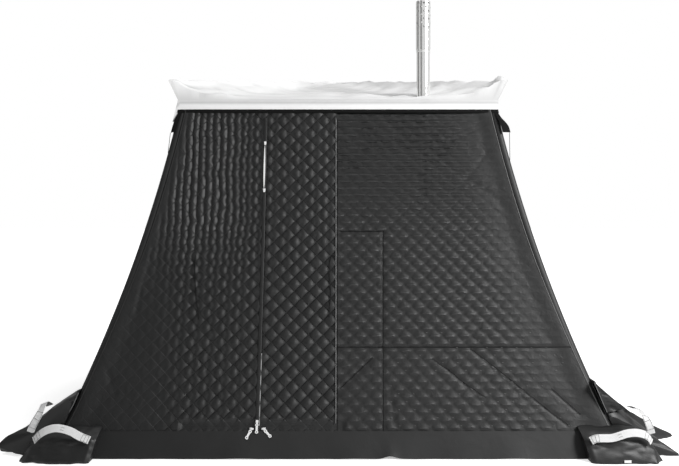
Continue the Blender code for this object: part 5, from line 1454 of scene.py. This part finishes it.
@dataclass
class HemBand:
    """Black webbing round the fly's hem, its corner straps and their cords."""

    finishes: dict
    low: float = 1.799
    high: float = 1.817
    cord_radius: float = 0.0015
    cord_foot: float = 1.565
    drop: float = 0.125
    reach: float = 0.002
    strap_width: float = 0.058
    strap_rows: int = 18
    strap_columns: int = 13
    softness: float = 0.25
    sleeve_chamfer: float = 0.010
    stand_off: float = 0.013

    def build(self) -> None:
        """Make the band, the straps and the cords."""
        along = np.linspace(-1, 1, 80, endpoint=False)
        sides = []
        for side in Side:
            rows = []
            for level in np.linspace(self.low, self.high, 4):
                flat = np.full_like(along, level)
                half = CURVE.half(flat, -0.0034)
                bow = 0.0008 * np.sin(along * 17 + side.value)
                rows.append(np.stack([along * half, -half - bow * (1 - along ** 6), flat], axis=-1))
            sides.append(turned(np.array(rows), side))
        points = np.concatenate(sides, axis=1)
        across = np.linspace(0, 7.3, points.shape[1], endpoint=False)
        uv = np.stack(np.broadcast_arrays(points[..., 2], across[None, :]), axis=-1)
        add_cloth("hem_webbing", grid_mesh("hem_webbing", points, uv, wrap=True), self.finishes["band"],
                  0.002, node="fly_hem_band")
        for corner in Corner:
            self.strap(corner)

    def strap(self, corner: Corner) -> None:
        """A corner strap bent round the corner, and the taut cord below it.

        Args:
            corner: the corner it is sewn to.
        """
        sx, sy = corner.value
        name = corner.name.lower()
        out = np.array([sx, sy, 0.0]) / math.sqrt(2)
        foot_level = (self.low + self.high) / 2 - self.drop
        turn = np.linspace(-1, 1, self.strap_columns)
        bent = np.sqrt(turn ** 2 + self.softness ** 2)
        rows = []
        for share in np.linspace(0, 1, self.strap_rows):
            level = self.low + 0.001 + (foot_level - self.low) * share
            half = float(CURVE.half(level))
            width = self.strap_width * (0.92 + 0.08 * share) / 2
            lift = 0.0042 + 0.0130 * share + 0.004 * math.sin(math.pi * share)
            x = sx * (half - (bent + turn) / 2 * width) + out[0] * lift
            y = sy * (half - (bent - turn) / 2 * width) + out[1] * lift
            if sx > 0:
                free = 0.9 * float(smooth(share / 0.8))
                x = x * (1 - free) + free * sx * (half + 0.019 - turn * 0.024)
                y = y * (1 - free) + free * sy * (half + 0.014 + turn * 0.004)
            rows.append(np.stack([x, y, np.full_like(x, level)], axis=-1))
        points = np.array(rows)[::-1]
        if sx * sy < 0:
            points = points[:, ::-1]
        uv = even_uv(np.linspace(0, 0.058, self.strap_columns), np.linspace(0, 0.13, self.strap_rows))
        add_cloth("corner_strap_" + name, grid_mesh("corner_strap_" + name, points, uv), self.finishes["band"],
                  0.0022)
        self.cord(name, sx, sy, out, foot_level)

    def cord(self, name: str, sx: int, sy: int, out: Points, foot_level: float) -> None:
        """The taut cord from a corner strap down to the sleeve.

        Args:
            name: the corner's name.
            sx: the sign of the corner's X.
            sy: the sign of the corner's Y.
            out: the direction away from the corner.
            foot_level: the height of the strap's foot.
        """
        foot_half = float(CURVE.half(foot_level)) + self.reach / math.sqrt(2)
        foot = np.array([sx * foot_half, sy * foot_half, foot_level])
        level = self.cord_foot - (0.040 if sx > 0 else 0.0)
        cord_half = float(CURVE.half(level)) - self.sleeve_chamfer / 2
        end = np.array([sx * cord_half, sy * cord_half, level]) + out * (self.cord_radius + 0.0008)
        start = foot + (end - foot) / np.linalg.norm(end - foot) * 0.0014 + out * self.stand_off
        if sx > 0:
            start = start + np.array([0.022, 0.0, 0.0])
        path = [start + (end - start) * share for share in np.linspace(0, 1, 16)]
        cord = add_piece("tie_cord_" + name, tube(path, self.cord_radius, 8, "tie_cord_" + name),
                         self.finishes["cord"], "tent")
        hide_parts("fly_tie_cord_" + name)
        float(np.linalg.norm(end - start))
        2 * self.cord_radius


@dataclass
class DoorTrim:
    """The zip's cover strip and slit, seams round the leaves, tie-back cords and zip hardware."""

    groups: Groups
    finishes: dict
    strip_x: tuple = (-0.4195, -0.4005)
    foot: float = 0.153
    head: float = 1.767
    slit_x: float = -0.4118
    slit_z: tuple = (1.364, 1.609)
    slit_half: float = 0.0040
    slit_inset: float = -0.0022
    cord_radius: float = 0.002
    left_route: tuple = (
        (-0.774, 0.998), (-0.776, 0.962), (-0.775, 0.925), (-0.771, 0.885), (-0.766, 0.840),
        (-0.760, 0.795), (-0.753, 0.750), (-0.745, 0.705), (-0.738, 0.664))
    right_route: tuple = (
        (-0.012, 0.988), (-0.024, 0.996), (-0.036, 0.990), (-0.045, 0.966), (-0.048, 0.925),
        (-0.046, 0.880), (-0.042, 0.835), (-0.040, 0.790), (-0.043, 0.745), (-0.047, 0.705), (-0.049, 0.678))

    def build(self) -> None:
        """Make all the door's trim."""
        self.strip()
        self.slit()
        self.seams()
        self.tie_back("left", self.left_route, "left_leaf")
        self.tie_back("right", self.right_route, "right_leaf")
        for node in ("zip_slider_upright", "zip_pull_upright", "sill_slider_left", "sill_pull_left",
                     "sill_slider_right", "sill_pull_right", "vent_slider_upper", "vent_slider_lower"):
            dress(node, self.finishes["zip"])

    def strip(self) -> None:
        """The cloth strip over the zip's teeth."""
        shares = np.linspace(0, 1, 9)
        x = self.strip_x[0] + (self.strip_x[1] - self.strip_x[0]) * shares
        grid_x, grid_z = np.meshgrid(x, np.linspace(self.foot, self.head, 150))
        lift = -0.0004 - 0.0014 * np.sin(np.pi * shares) ** 0.5
        points, length = CURVE.front(grid_x, grid_z, np.broadcast_to(lift, grid_x.shape))
        mesh = grid_mesh("zip_cover_cloth", points, np.stack([grid_x, length], axis=-1))
        add_cloth("zip_cover_cloth", mesh, self.finishes["quilt"], 0.002, "left_leaf")

    def slit(self) -> None:
        """The pale lining that shows where the upper part of the zip stands open."""
        rows, cols = 40, 5
        share = np.linspace(0, 1, rows)
        width = self.slit_half * np.sin(np.pi * share ** 0.85) ** 0.6 + 0.0006
        x = self.slit_x + np.linspace(-1, 1, cols)[None, :] * width[:, None]
        z = np.repeat(np.linspace(*self.slit_z, rows)[:, None], cols, axis=1)
        points, length = CURVE.front(x, z, np.full_like(x, self.slit_inset))
        mesh = grid_mesh("zip_slit_lining", points, np.stack([x, length], axis=-1))
        add_cloth("zip_slit_lining", mesh, self.finishes["lining"], 0.0005, "left_leaf")

    def seams(self) -> None:
        """Stitched seams beside the right leaf's edges and along the sill."""
        def path(points: Sequence[tuple], inset: float) -> list:
            """World points on the front wall."""
            given = spline(points, 60)
            return CURVE.front(given[:, 0], given[:, 1], inset)[0].tolist()
        hinge = tube(path([(-0.0115, 0.16), (-0.0115, 1.764)], -0.0006), 0.0022, 6, "door_hinge_seam")
        add_piece("door_hinge_seam", hinge, self.finishes["seam"], "right_leaf")
        for body, ends in (("tent", [(-0.80, 0.140), (0.01, 0.140)]), ("right_leaf", [(-0.388, 0.16), (-0.388, 1.76)])):
            stitched("door_stitches_" + body, [path(ends, 0.0005)], self.groups, self.finishes["thread"], body,
                     (0.008, 0.0055, 0.0016))

    def tie_back(self, name: str, route: Sequence[tuple], body: str) -> None:
        """A thin cord that hangs from a leaf's hinge seam.

        Args:
            name: the leaf's side.
            route: x and height of points along it.
            body: the leaf that carries it.
        """
        inset = 0.001 - 0.0008 - self.cord_radius
        path = spline([CURVE.front(np.array(x), np.array(z), inset)[0] for x, z in route], 40)
        cord = add_piece("tie_back_" + name, tube(path, self.cord_radius, 8, "tie_back_" + name),
                         self.finishes["cord"], body)
        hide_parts("tie_back_cord_" + name)
        2 * self.cord_radius


def dress(node: str, material: bpy.types.Material) -> None:
    """Give a carried-over node its finish.

    Args:
        node: the node's name.
        material: its finish.
    """
    piece = bpy.data.objects[node]
    for slot in piece.material_slots:
        slot.material = material


@dataclass
class BagShape:
    """One kind of weight bag: stations along it, the outline of its cross-section and its handle's run.

    A station holds the share of the length and the shares of height and depth there. A handle point
    holds the share of the length, the distance out from the wall's foot and the height.
    """

    height: float
    depth: float
    stations: tuple
    outline: tuple
    handle: tuple
    handle_tilt: float
    tips: tuple
    tip_rise: float = 0.0
    lean: float = 0.0


UPRIGHT = BagShape(
    0.168, 0.085,
    ((0.0, 0.90, 0.80), (0.05, 0.92, 0.95), (0.25, 0.92, 1.0), (0.50, 0.93, 1.0), (0.72, 0.90, 0.97),
     (0.88, 0.58, 0.80), (1.0, 0.10, 0.40)),
    ((0.12, 1.0), (0.60, 0.90), (0.93, 0.70), (1.0, 0.30), (0.97, 0.0)),
    ((0.0, 0.050, 0.107), (0.08, 0.054, 0.120), (0.27, 0.058, 0.123), (0.38, 0.062, 0.135), (0.48, 0.064, 0.147),
     (0.59, 0.064, 0.151), (0.70, 0.062, 0.144), (0.78, 0.056, 0.127), (0.83, 0.050, 0.100)),
    0.30, (0.0, 0.016), 0.0, 0.11)
UPRIGHT_LEFT = replace(UPRIGHT, handle=(
    (0.0, 0.050, 0.110), (0.126, 0.056, 0.130), (0.266, 0.062, 0.159), (0.4355, 0.066, 0.174), (0.576, 0.064, 0.164),
    (0.703, 0.056, 0.137), (0.788, 0.048, 0.108)))
LYING = BagShape(
    0.300, 0.350,
    ((0.0, 0.66, 0.72), (0.06, 0.78, 0.74), (0.25, 0.92, 0.72), (0.50, 1.0, 0.70), (0.68, 1.0, 0.74),
     (0.80, 0.92, 0.98), (0.92, 0.80, 1.0), (1.0, 0.50, 0.70)),
    ((0.10, 1.0), (0.36, 0.80), (0.62, 0.52), (0.84, 0.30), (1.0, 0.10), (1.0, 0.0)),
    ((-0.010, 0.140, 0.108), (-0.012, 0.128, 0.150), (0.025, 0.114, 0.188), (0.14, 0.112, 0.200),
     (0.35, 0.124, 0.200), (0.60, 0.138, 0.186), (0.85, 0.142, 0.166)),
    1.20, (0.030, 0.055))
LYING_LEFT = replace(LYING, tip_rise=0.040, tips=(0.020, 0.0), stations=(
    (0.0, 0.92, 0.75), (0.06, 0.96, 0.76), (0.25, 1.0, 0.75), (0.50, 1.0, 0.74), (0.70, 0.95, 0.72),
    (0.90, 0.78, 0.68), (1.0, 0.50, 0.55)), outline=(
    (0.12, 1.0), (0.36, 0.82), (0.62, 0.58), (0.84, 0.38), (1.0, 0.16), (1.0, 0.0)), handle=(
    (-0.010, 0.110, 0.116), (-0.012, 0.094, 0.155), (0.010, 0.070, 0.200), (0.08, 0.062, 0.232),
    (0.30, 0.080, 0.236), (0.60, 0.104, 0.206), (0.85, 0.124, 0.176)))


APRON_LINES = {
    Side.RIGHT: (((1.301, 0.369), (1.345, 0.330), (1.388, 0.293), (1.430, 0.259), (1.463, 0.232)),
                 ((1.301, 0.365), (1.322, 0.318), (1.345, 0.262), (1.367, 0.214))),
    Side.LEFT: (((1.318, 0.318), (1.352, 0.290), (1.384, 0.262), (1.425, 0.240), (1.463, 0.226)),
                ((1.318, 0.314), (1.330, 0.285), (1.346, 0.250), (1.367, 0.214))),
}


@dataclass
class WeightBags:
    """Sand-filled bags at the corners, with webbing handles, quilted aprons and small tabs."""

    groups: Groups
    finishes: dict
    clearance: float = 0.0045
    ground_gap: float = 0.0012
    along: int = 60
    around: int = 52

    def section(self, shape: BagShape, share: float) -> Points:
        """Cross-section points (half width, height) at a share of the bag's length.

        Args:
            shape: the kind of bag.
            share: the share of its length.

        Returns:
            The points, from the wall's foot up the back and down the front.
        """
        table = np.array(shape.stations)
        tall = np.interp(share, table[:, 0], table[:, 1]) * shape.height
        deep = np.interp(share, table[:, 0], table[:, 2]) * shape.depth
        outline = [(0.0, 0.0), (0.0, 0.5), (0.0, 1.0), *shape.outline]
        return np.array([(CURVE.half(level * tall) + self.clearance + out * deep, level * tall)
                         for out, level in outline], dtype=float)

    def shell(self, shape: BagShape, start: float, end: float, side: Side, seed: float) -> Points:
        """Points of a bag's soft shell.

        Args:
            shape: the kind of bag.
            start: where it starts along the wall.
            end: where it ends.
            side: the side it lies on.
            seed: shifts its dents.

        Returns:
            Rings of points along the bag, in place.
        """
        rows = []
        shares = 0.5 - 0.5 * np.cos(np.linspace(0, np.pi, self.along)) * 0.999
        for share in shares:
            section = self.section(shape, share)
            closed = np.concatenate([section, section[:1]])
            reach = lengths_along(closed)
            wanted = np.linspace(0, reach[-1], self.around, endpoint=False)
            ring = np.stack([np.interp(wanted, reach, closed[:, k]) for k in (0, 1)], axis=-1)
            soft = (np.roll(ring, 1, axis=0) + ring * 2 + np.roll(ring, -1, axis=0)) / 4
            soft[:, 1] = np.where(ring[:, 1] < 0.002, ring[:, 1], soft[:, 1])
            x = start + (end - start) * share
            low = np.exp(-(soft[:, 1] / 0.035) ** 2) * smooth((soft[:, 0] - 1.47) / 0.05)
            early, late = np.exp(-(share / 0.06) ** 2), np.exp(-((share - 0.90) / 0.07) ** 2)
            near = early * shape.tips[0] + late * shape.tips[1]
            x = x - (end - start) * shape.lean * soft[:, 1] / shape.height * math.exp(-(share / 0.14) ** 2)
            x = x + (end - start) * 0.06 * low * (np.exp(-(1 - share) / 0.04) - np.exp(-share / 0.04)) * (near > 0.001)
            rise = shape.tip_rise * early * smooth((soft[:, 0] - 1.56) / 0.14)
            rows.append(np.stack([x + np.zeros(self.around), -soft[:, 0] - near * low, soft[:, 1] + rise], axis=-1))
        points = np.array(rows)
        points[1:-1] = (points[:-2] + points[1:-1] * 2 + points[2:]) / 4
        out = points - points.mean(axis=1, keepdims=True)
        out /= np.maximum(np.linalg.norm(out, axis=-1, keepdims=True), 1e-6)
        stretched = points * np.array([1.0, 2.2, 2.2])
        dents = ripple(stretched, 9.0, seed) * 0.004 + ripple(stretched, 24.0, seed + 7) * 0.0022
        points = points + out * (dents - 0.002)[..., None]
        points[..., 2] = np.maximum(points[..., 2], self.ground_gap)
        return turned(points, side)

    def bag(self, name: str, shape: BagShape, start: float, end: float, side: Side, seed: float) -> None:
        """One bag with its handle.

        Args:
            name: its corner and side.
            shape: the kind of bag.
            start: where it starts along the wall.
            end: where it ends.
            side: the side it lies on.
            seed: shifts its dents.
        """
        points = self.shell(shape, start, end, side, seed)
        caps = []
        for ring in (points[0], points[-1]):
            middle = ring.mean(axis=0)
            caps.append([middle + (ring - middle) * size for size in (0.0, 0.35, 0.70, 0.92)])
        full = np.concatenate([np.array(caps[0]), points, np.array(caps[1])[::-1]])
        if end < start:
            full = full[:, ::-1]
        uv = even_uv(np.linspace(0, 0.8, self.around), np.linspace(0, 0.35, len(full)))
        mesh = grid_mesh("bag_cloth_" + name, full, uv, wrap=True)
        with editing(mesh) as bm:
            bmesh.ops.remove_doubles(bm, verts=bm.verts, dist=0.00005)
            bmesh.ops.recalc_face_normals(bm, faces=bm.faces)
        mesh.shade_smooth()
        mesh.set_sharp_from_angle(angle=math.radians(50.0))
        piece = add_piece("bag_cloth_" + name, mesh, self.finishes["bag"], "tent")
        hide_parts("weight_bag_" + name)
        self.handle(name, shape, start, end, side)

    def handle(self, name: str, shape: BagShape, start: float, end: float, side: Side) -> None:
        """The webbing handle along a bag, sewn down at both ends and slack between.

        Args:
            name: the bag's name.
            shape: the kind of bag.
            start: where the bag starts along the wall.
            end: where it ends.
            side: the side it lies on.
        """
        run = spline(shape.handle, 40)
        foot = self.clearance + float(CURVE.half(0.0))
        centres = np.stack([start + (end - start) * run[:, 0], -foot - run[:, 1], run[:, 2]], axis=-1)
        tilt = shape.handle_tilt
        tangent = np.gradient(centres, axis=0)
        tangent /= np.linalg.norm(tangent, axis=1, keepdims=True)
        outs = np.cross(tangent, np.array([0.0, -math.sin(tilt), -math.cos(tilt)]))
        outs /= np.linalg.norm(outs, axis=1, keepdims=True)
        outs *= -1.0 if outs[len(outs) // 2, 1] > 0 else 1.0
        across = np.cross(outs, tangent)
        across *= -1.0 if across[len(outs) // 2, 2] > 0 else 1.0
        centres, across, outs = (turned(each, side) for each in (centres, across, outs))
        mesh = band(centres, across, outs, 0.038, 0.0018, "handle_webbing_" + name)
        piece = add_piece("handle_webbing_" + name, mesh, self.finishes["strap"], "tent")
        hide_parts("bag_handle_" + name)
        self.tacks(name, centres, across, outs)

    def tacks(self, name: str, centres: Points, across: Points, outs: Points) -> None:
        """Dark stitched boxes where a handle is sewn down, and a small tack in its middle.

        Args:
            name: the bag's name.
            centres: the middle of the webbing.
            across: unit vectors over its width.
            outs: unit vectors away from the bag.
        """
        face = centres + outs * 0.0022
        box, tack = 0.016, 0.006
        paths = []
        for rows in (slice(1, 6), slice(len(centres) - 6, len(centres) - 1)):
            for lift, over in zip(face[rows][::2], across[rows][::2]):
                paths.append([lift - over * box, lift + over * box])
            paths += [face[rows] + across[rows] * s for s in (-box, box)]
        row = len(centres) // 2 - 3
        paths += [face[row:row + 3] + across[row:row + 3] * s for s in (-tack, tack)]
        stitched("handle_stitches_" + name, paths, self.groups, self.finishes["buckle"], "tent",
                 (0.0035, 0.0034, 0.0022))

    def apron(self, name: str, side: Side, sign: int) -> None:
        """A puckered quilted flap that covers the top of a side bag, closed by a gusset at its end.

        Args:
            name: the bag's name.
            side: the side it lies on.
            sign: which way its gusset faces along the wall.
        """
        near, far, count, width, crumple = sign * 1.374, sign * 1.060, 30, 12, 26.0
        profile, under = (spline(line, count) for line in APRON_LINES[side])

        def upright(line: Points, x: float) -> Points:
            """A line's points in the plane at x."""
            return np.stack([np.full(count, x), -line[:, 0], line[:, 1]], axis=-1)

        y = np.linspace(near, far, 44)
        share = np.linspace(0, 1, count)
        top = np.stack(np.broadcast_arrays(y[:, None], -profile[None, :, 0], profile[None, :, 1]), axis=-1)
        wall = CURVE.half(top[..., 2]) + 0.006
        part = np.linspace(0, 1, len(y))[:, None]
        stand = 1 - 0.90 * smooth((part - 0.45) / 0.55)
        top[..., 1] = -(wall + np.maximum(-top[..., 1] - wall, 0.0) * stand)
        top[..., 2] -= 0.035 * smooth((part - 0.55) / 0.45) * (1 - share)
        pucker = ripple(top * np.array([0.7, 1.6, 1.6]), crumple, 3.0 + sign)
        top[..., 2] += pucker * 0.0035 * np.sin(np.pi * share) ** 0.5
        across = np.linspace(0, 1, width)[:, None, None]
        face = upright(under, near)[None] * (1 - across) + upright(profile, near)[None] * across
        folds = ripple(face * np.array([1.0, 1.0, 3.0]), crumple, 11.0 + sign)
        face[..., 0] += sign * folds * 0.004 * np.sin(np.pi * np.linspace(0, 1, width))[:, None]
        full = np.concatenate([face, top[1:]])
        tone = np.concatenate([folds, pucker[1:]])
        uv = even_uv(np.linspace(0, 0.2, count), np.linspace(0, 0.4, len(full)))
        mesh = grid_mesh("bag_apron_" + name, turned(full, side), uv)
        # Painted shade where the puckers and folds dip, painted light where they rise.
        store(mesh, "painted_shading", np.clip(-tone * 0.9, -0.9, 0.5))
        with editing(mesh) as bm:
            bmesh.ops.recalc_face_normals(bm, faces=bm.faces)
            if sum(face.normal.z * face.calc_area() for face in bm.faces) < 0:
                bmesh.ops.reverse_faces(bm, faces=bm.faces)
        piece = add_cloth("bag_apron_" + name, mesh, self.finishes["skirt"], 0.002)
        "weight_bag_" + name
        cord = tube(turned(upright(under, near + sign * 0.0015), side), 0.0020, 6, "apron_seam_" + name)
        add_piece("apron_seam_" + name, cord, self.finishes["seam"], "tent")

    def tab(self, name: str, x: float, z: float, side: Side) -> None:
        """A small bare tab sewn to the foot of a front bag.

        Args:
            name: the bag's name.
            x: its middle across the wall.
            z: its middle's height.
            side: the side it is on.
        """
        wide, tall = 0.017, 0.0065
        y = -(float(CURVE.half(z)) + 0.0965)
        grid_x, grid_z = np.meshgrid(np.linspace(x - wide, x + wide, 5), np.linspace(z - tall, z + tall, 3))
        points = np.stack([grid_x, np.full_like(grid_x, y), grid_z], axis=-1)
        mesh = grid_mesh("bag_tab_" + name, turned(points, side), np.stack([grid_x, grid_z], axis=-1))
        add_cloth("bag_tab_" + name, mesh, self.finishes["lining"], 0.0015)

    def build(self) -> None:
        """Make the eight bags."""
        length, outer_y = 0.350, 1.378
        for number, (sign, label, shape, inner, outer) in enumerate((
                (-1, "left", UPRIGHT_LEFT, 1.222, 1.571), (1, "right", UPRIGHT, 1.243, 1.602))):
            self.bag("front_" + label, shape, sign * inner, sign * outer, Side.FRONT, 3.0 + number)
            self.bag("rear_" + label, shape, -sign * inner, -sign * outer, Side.REAR, 13.0 + number)
        self.tab("front_right", 1.412, 0.016, Side.FRONT)
        for side, shape in ((Side.RIGHT, LYING), (Side.LEFT, LYING_LEFT)):
            for sign, label in ((-1, "front"), (1, "rear")):
                turned_sign = sign if side is Side.RIGHT else -sign
                name = side.name.lower() + "_" + label
                self.bag(name, shape, turned_sign * outer_y, turned_sign * (outer_y - length), side,
                         23.0 + side.value + sign)
                self.apron(name, side, turned_sign)


@dataclass
class Heating:
    """Finishes of the stove, the flue and the frame, and the jack's cloth."""

    finishes: dict

    def build(self) -> None:
        """Dress the rigid nodes."""
        for node in ("flue_pipe", "spark_arrestor", "stove_door_latch", "flue_damper"):
            dress(node, self.finishes["steel"])
        for node in ("stove_firebox", "stove_door"):
            dress(node, self.finishes["stove"])
        dress("stove_jack", self.finishes["jack"])
        dress("roof_hub", self.finishes["frame"])
        for corner in Corner:
            dress("roof_arm_" + corner.name.lower(), self.finishes["frame"])
            dress("leg_pole_" + corner.name.lower(), self.finishes["pole"])


# Stage


@dataclass
class Stage:
    """Camera, floor and lights."""

    camera_y: float = -5.234
    camera_z: float = 1.217
    focal_px: float = 760.0
    width_px: float = 679.0
    shift_px: tuple = (1.5, -18.0)
    sensor: float = 36.0
    card_bearings: tuple = (-94.0, -32.0, 32.0)
    card_width: float = 1.3
    card_reach: float = 4.0
    card_half_height: float = 3.0
    floor_half: float = 60.0

    def build(self) -> None:
        """Make the stage."""
        scene = bpy.context.scene
        scene.view_settings.view_transform = "Standard"
        lens = bpy.data.cameras.new("camera")
        lens.lens = self.focal_px / self.width_px * self.sensor
        lens.sensor_width = self.sensor
        lens.shift_x, lens.shift_y = (shift / self.width_px for shift in self.shift_px)
        scene.camera = self.place("camera", lens)
        scene.camera.location = (0.0, self.camera_y, self.camera_z)
        scene.camera.rotation_euler = (math.radians(90.0), 0.0, 0.0)
        self.world(scene)
        self.floor()
        self.lamp("key", (4.6, -4.8, 4.2), (0.4, -0.9, 0.9), 2.0, 430.0)
        self.lamp("fill", (-5.5, -5.0, 3.0), (0.0, 0.0, 0.8), 4.0, 6.0)
        self.lamp("top", (-0.6, 0.6, 7.0), (0.0, 0.0, 1.5), 4.0, 54.0)
        for number, bearing in enumerate(self.card_bearings):
            cos, sin = math.cos(math.radians(bearing)), math.sin(math.radians(bearing))
            self.card("card_" + str(number + 1), (FLUE_X + self.card_reach * sin, FLUE_Y - self.card_reach * cos),
                      (cos, sin), self.card_width)
        self.card("card_left", (-3.9, -5.2), (0.707, -0.707), 4.4)

    def place(self, name: str, data: bpy.types.ID) -> bpy.types.Object:
        """Put an object into the scene.

        Args:
            name: its name.
            data: its mesh, camera or light.

        Returns:
            The object.
        """
        made = bpy.data.objects.new(name, data)
        bpy.context.scene.collection.objects.link(made)
        return made

    def card(self, name: str, place: tuple, along: tuple, width: float) -> None:
        """A tall grey card that only shows in reflections.

        Args:
            name: the card's name.
            place: X and Y of its middle.
            along: the direction of its width.
            width: its width.
        """
        middle = Vector((*place, self.card_half_height))
        along = Vector((*along, 0.0)) * width / 2
        rise = Vector((0.0, 0.0, self.card_half_height))
        mesh = bpy.data.meshes.new(name)
        corners = [middle - along - rise, middle + along - rise, middle + along + rise, middle - along + rise]
        mesh.from_pydata(corners, [], [(0, 1, 2, 3)])
        card = self.place(name, mesh)
        for kind in ("camera", "diffuse", "transmission", "shadow", "volume_scatter"):
            setattr(card, "visible_" + kind, False)
        material, w, bsdf = shader(name)
        w.fill(bsdf, {"Base Color": (0.10, 0.10, 0.10, 1.0), "Roughness": 0.9})
        mesh.materials.append(material)

    def lamp(self, name: str, place: tuple, target: tuple, size: float, power: float) -> None:
        """A square lamp that looks at a point.

        Args:
            name: the lamp's name.
            place: where it stands.
            target: the point it looks at.
            size: its edge.
            power: its power in watts.
        """
        light = bpy.data.lights.new(name, "AREA")
        light.size = size
        light.energy = power
        lamp = self.place(name, light)
        lamp.location = place
        lamp.rotation_euler = (Vector(target) - Vector(place)).to_track_quat("-Z", "Y").to_euler()

    def world(self, scene: bpy.types.Scene) -> None:
        """An even world that is white to the camera.

        Args:
            scene: the scene that gets it.
        """
        world = bpy.data.worlds.new("studio")
        world.use_nodes = True
        scene.world = world
        w = Wiring(world.node_tree)
        seen = w.named("ShaderNodeLightPath")
        clear = w.math("MAXIMUM", seen["Is Camera Ray"], seen["Is Transmission Ray"])
        strength = w.math("MAXIMUM", w.ramp(seen["Is Glossy Ray"], 0.0, 1.0, 0.34, 0.55), clear)
        w.fill(world.node_tree.nodes["Background"], {"Color": (1.0, 1.0, 1.0, 1.0), "Strength": strength})

    def floor(self) -> None:
        """A plain white floor that keeps the object's shadow."""
        mesh = bpy.data.meshes.new("floor")
        with editing(mesh) as bm:
            bmesh.ops.create_grid(bm, x_segments=1, y_segments=1, size=self.floor_half)
        floor = self.place("floor", mesh)
        material, w, bsdf = shader("floor_white")
        seen = w.named("ShaderNodeLightPath")
        glow = w.math("MAXIMUM", seen["Is Camera Ray"], seen["Is Glossy Ray"] * 0.35)
        spot = w.out("ShaderNodeTexCoord", output="Object")
        reach = w.out("ShaderNodeVectorMath", {0: spot}, "Value", operation="LENGTH")
        w.fill(bsdf, {
            "Base Color": (0.92, 0.92, 0.92, 1.0), "Roughness": 0.9, "Specular IOR Level": 0.0,
            "Emission Color": (1.0, 1.0, 1.0, 1.0), "Emission Strength": glow * w.ramp(reach, 1.5, 2.7, 0.40, 1.0)})
        mesh.materials.append(material)


def main() -> None:
    """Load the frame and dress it."""
    logging.basicConfig(level=logging.INFO, format="%(message)s")
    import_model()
    groups = Groups(cloth_grain_group(), quilt_relief_group(), seam_line_group(), quilting_tree(), stitch_tree())
    finishes = {key: finish.make(groups) for key, finish in FINISHES.items()}
    front = replace(FINISHES["quilt"], name="quilt_black_front", creases=on_front_cloth(FRONT_CREASES))
    finishes["quilt_front"] = front.make(groups)
    Stage().build()
    HemBand(finishes).build()
    DoorTrim(groups, finishes).build()
    Quilt(groups, finishes).build()
    CornerSleeves(finishes).build()
    GroundSkirt(finishes).build()
    RoofFly(finishes).build()
    WeightBags(groups, finishes).build()
    Heating(finishes).build()


if __name__ == "__main__":
    main()
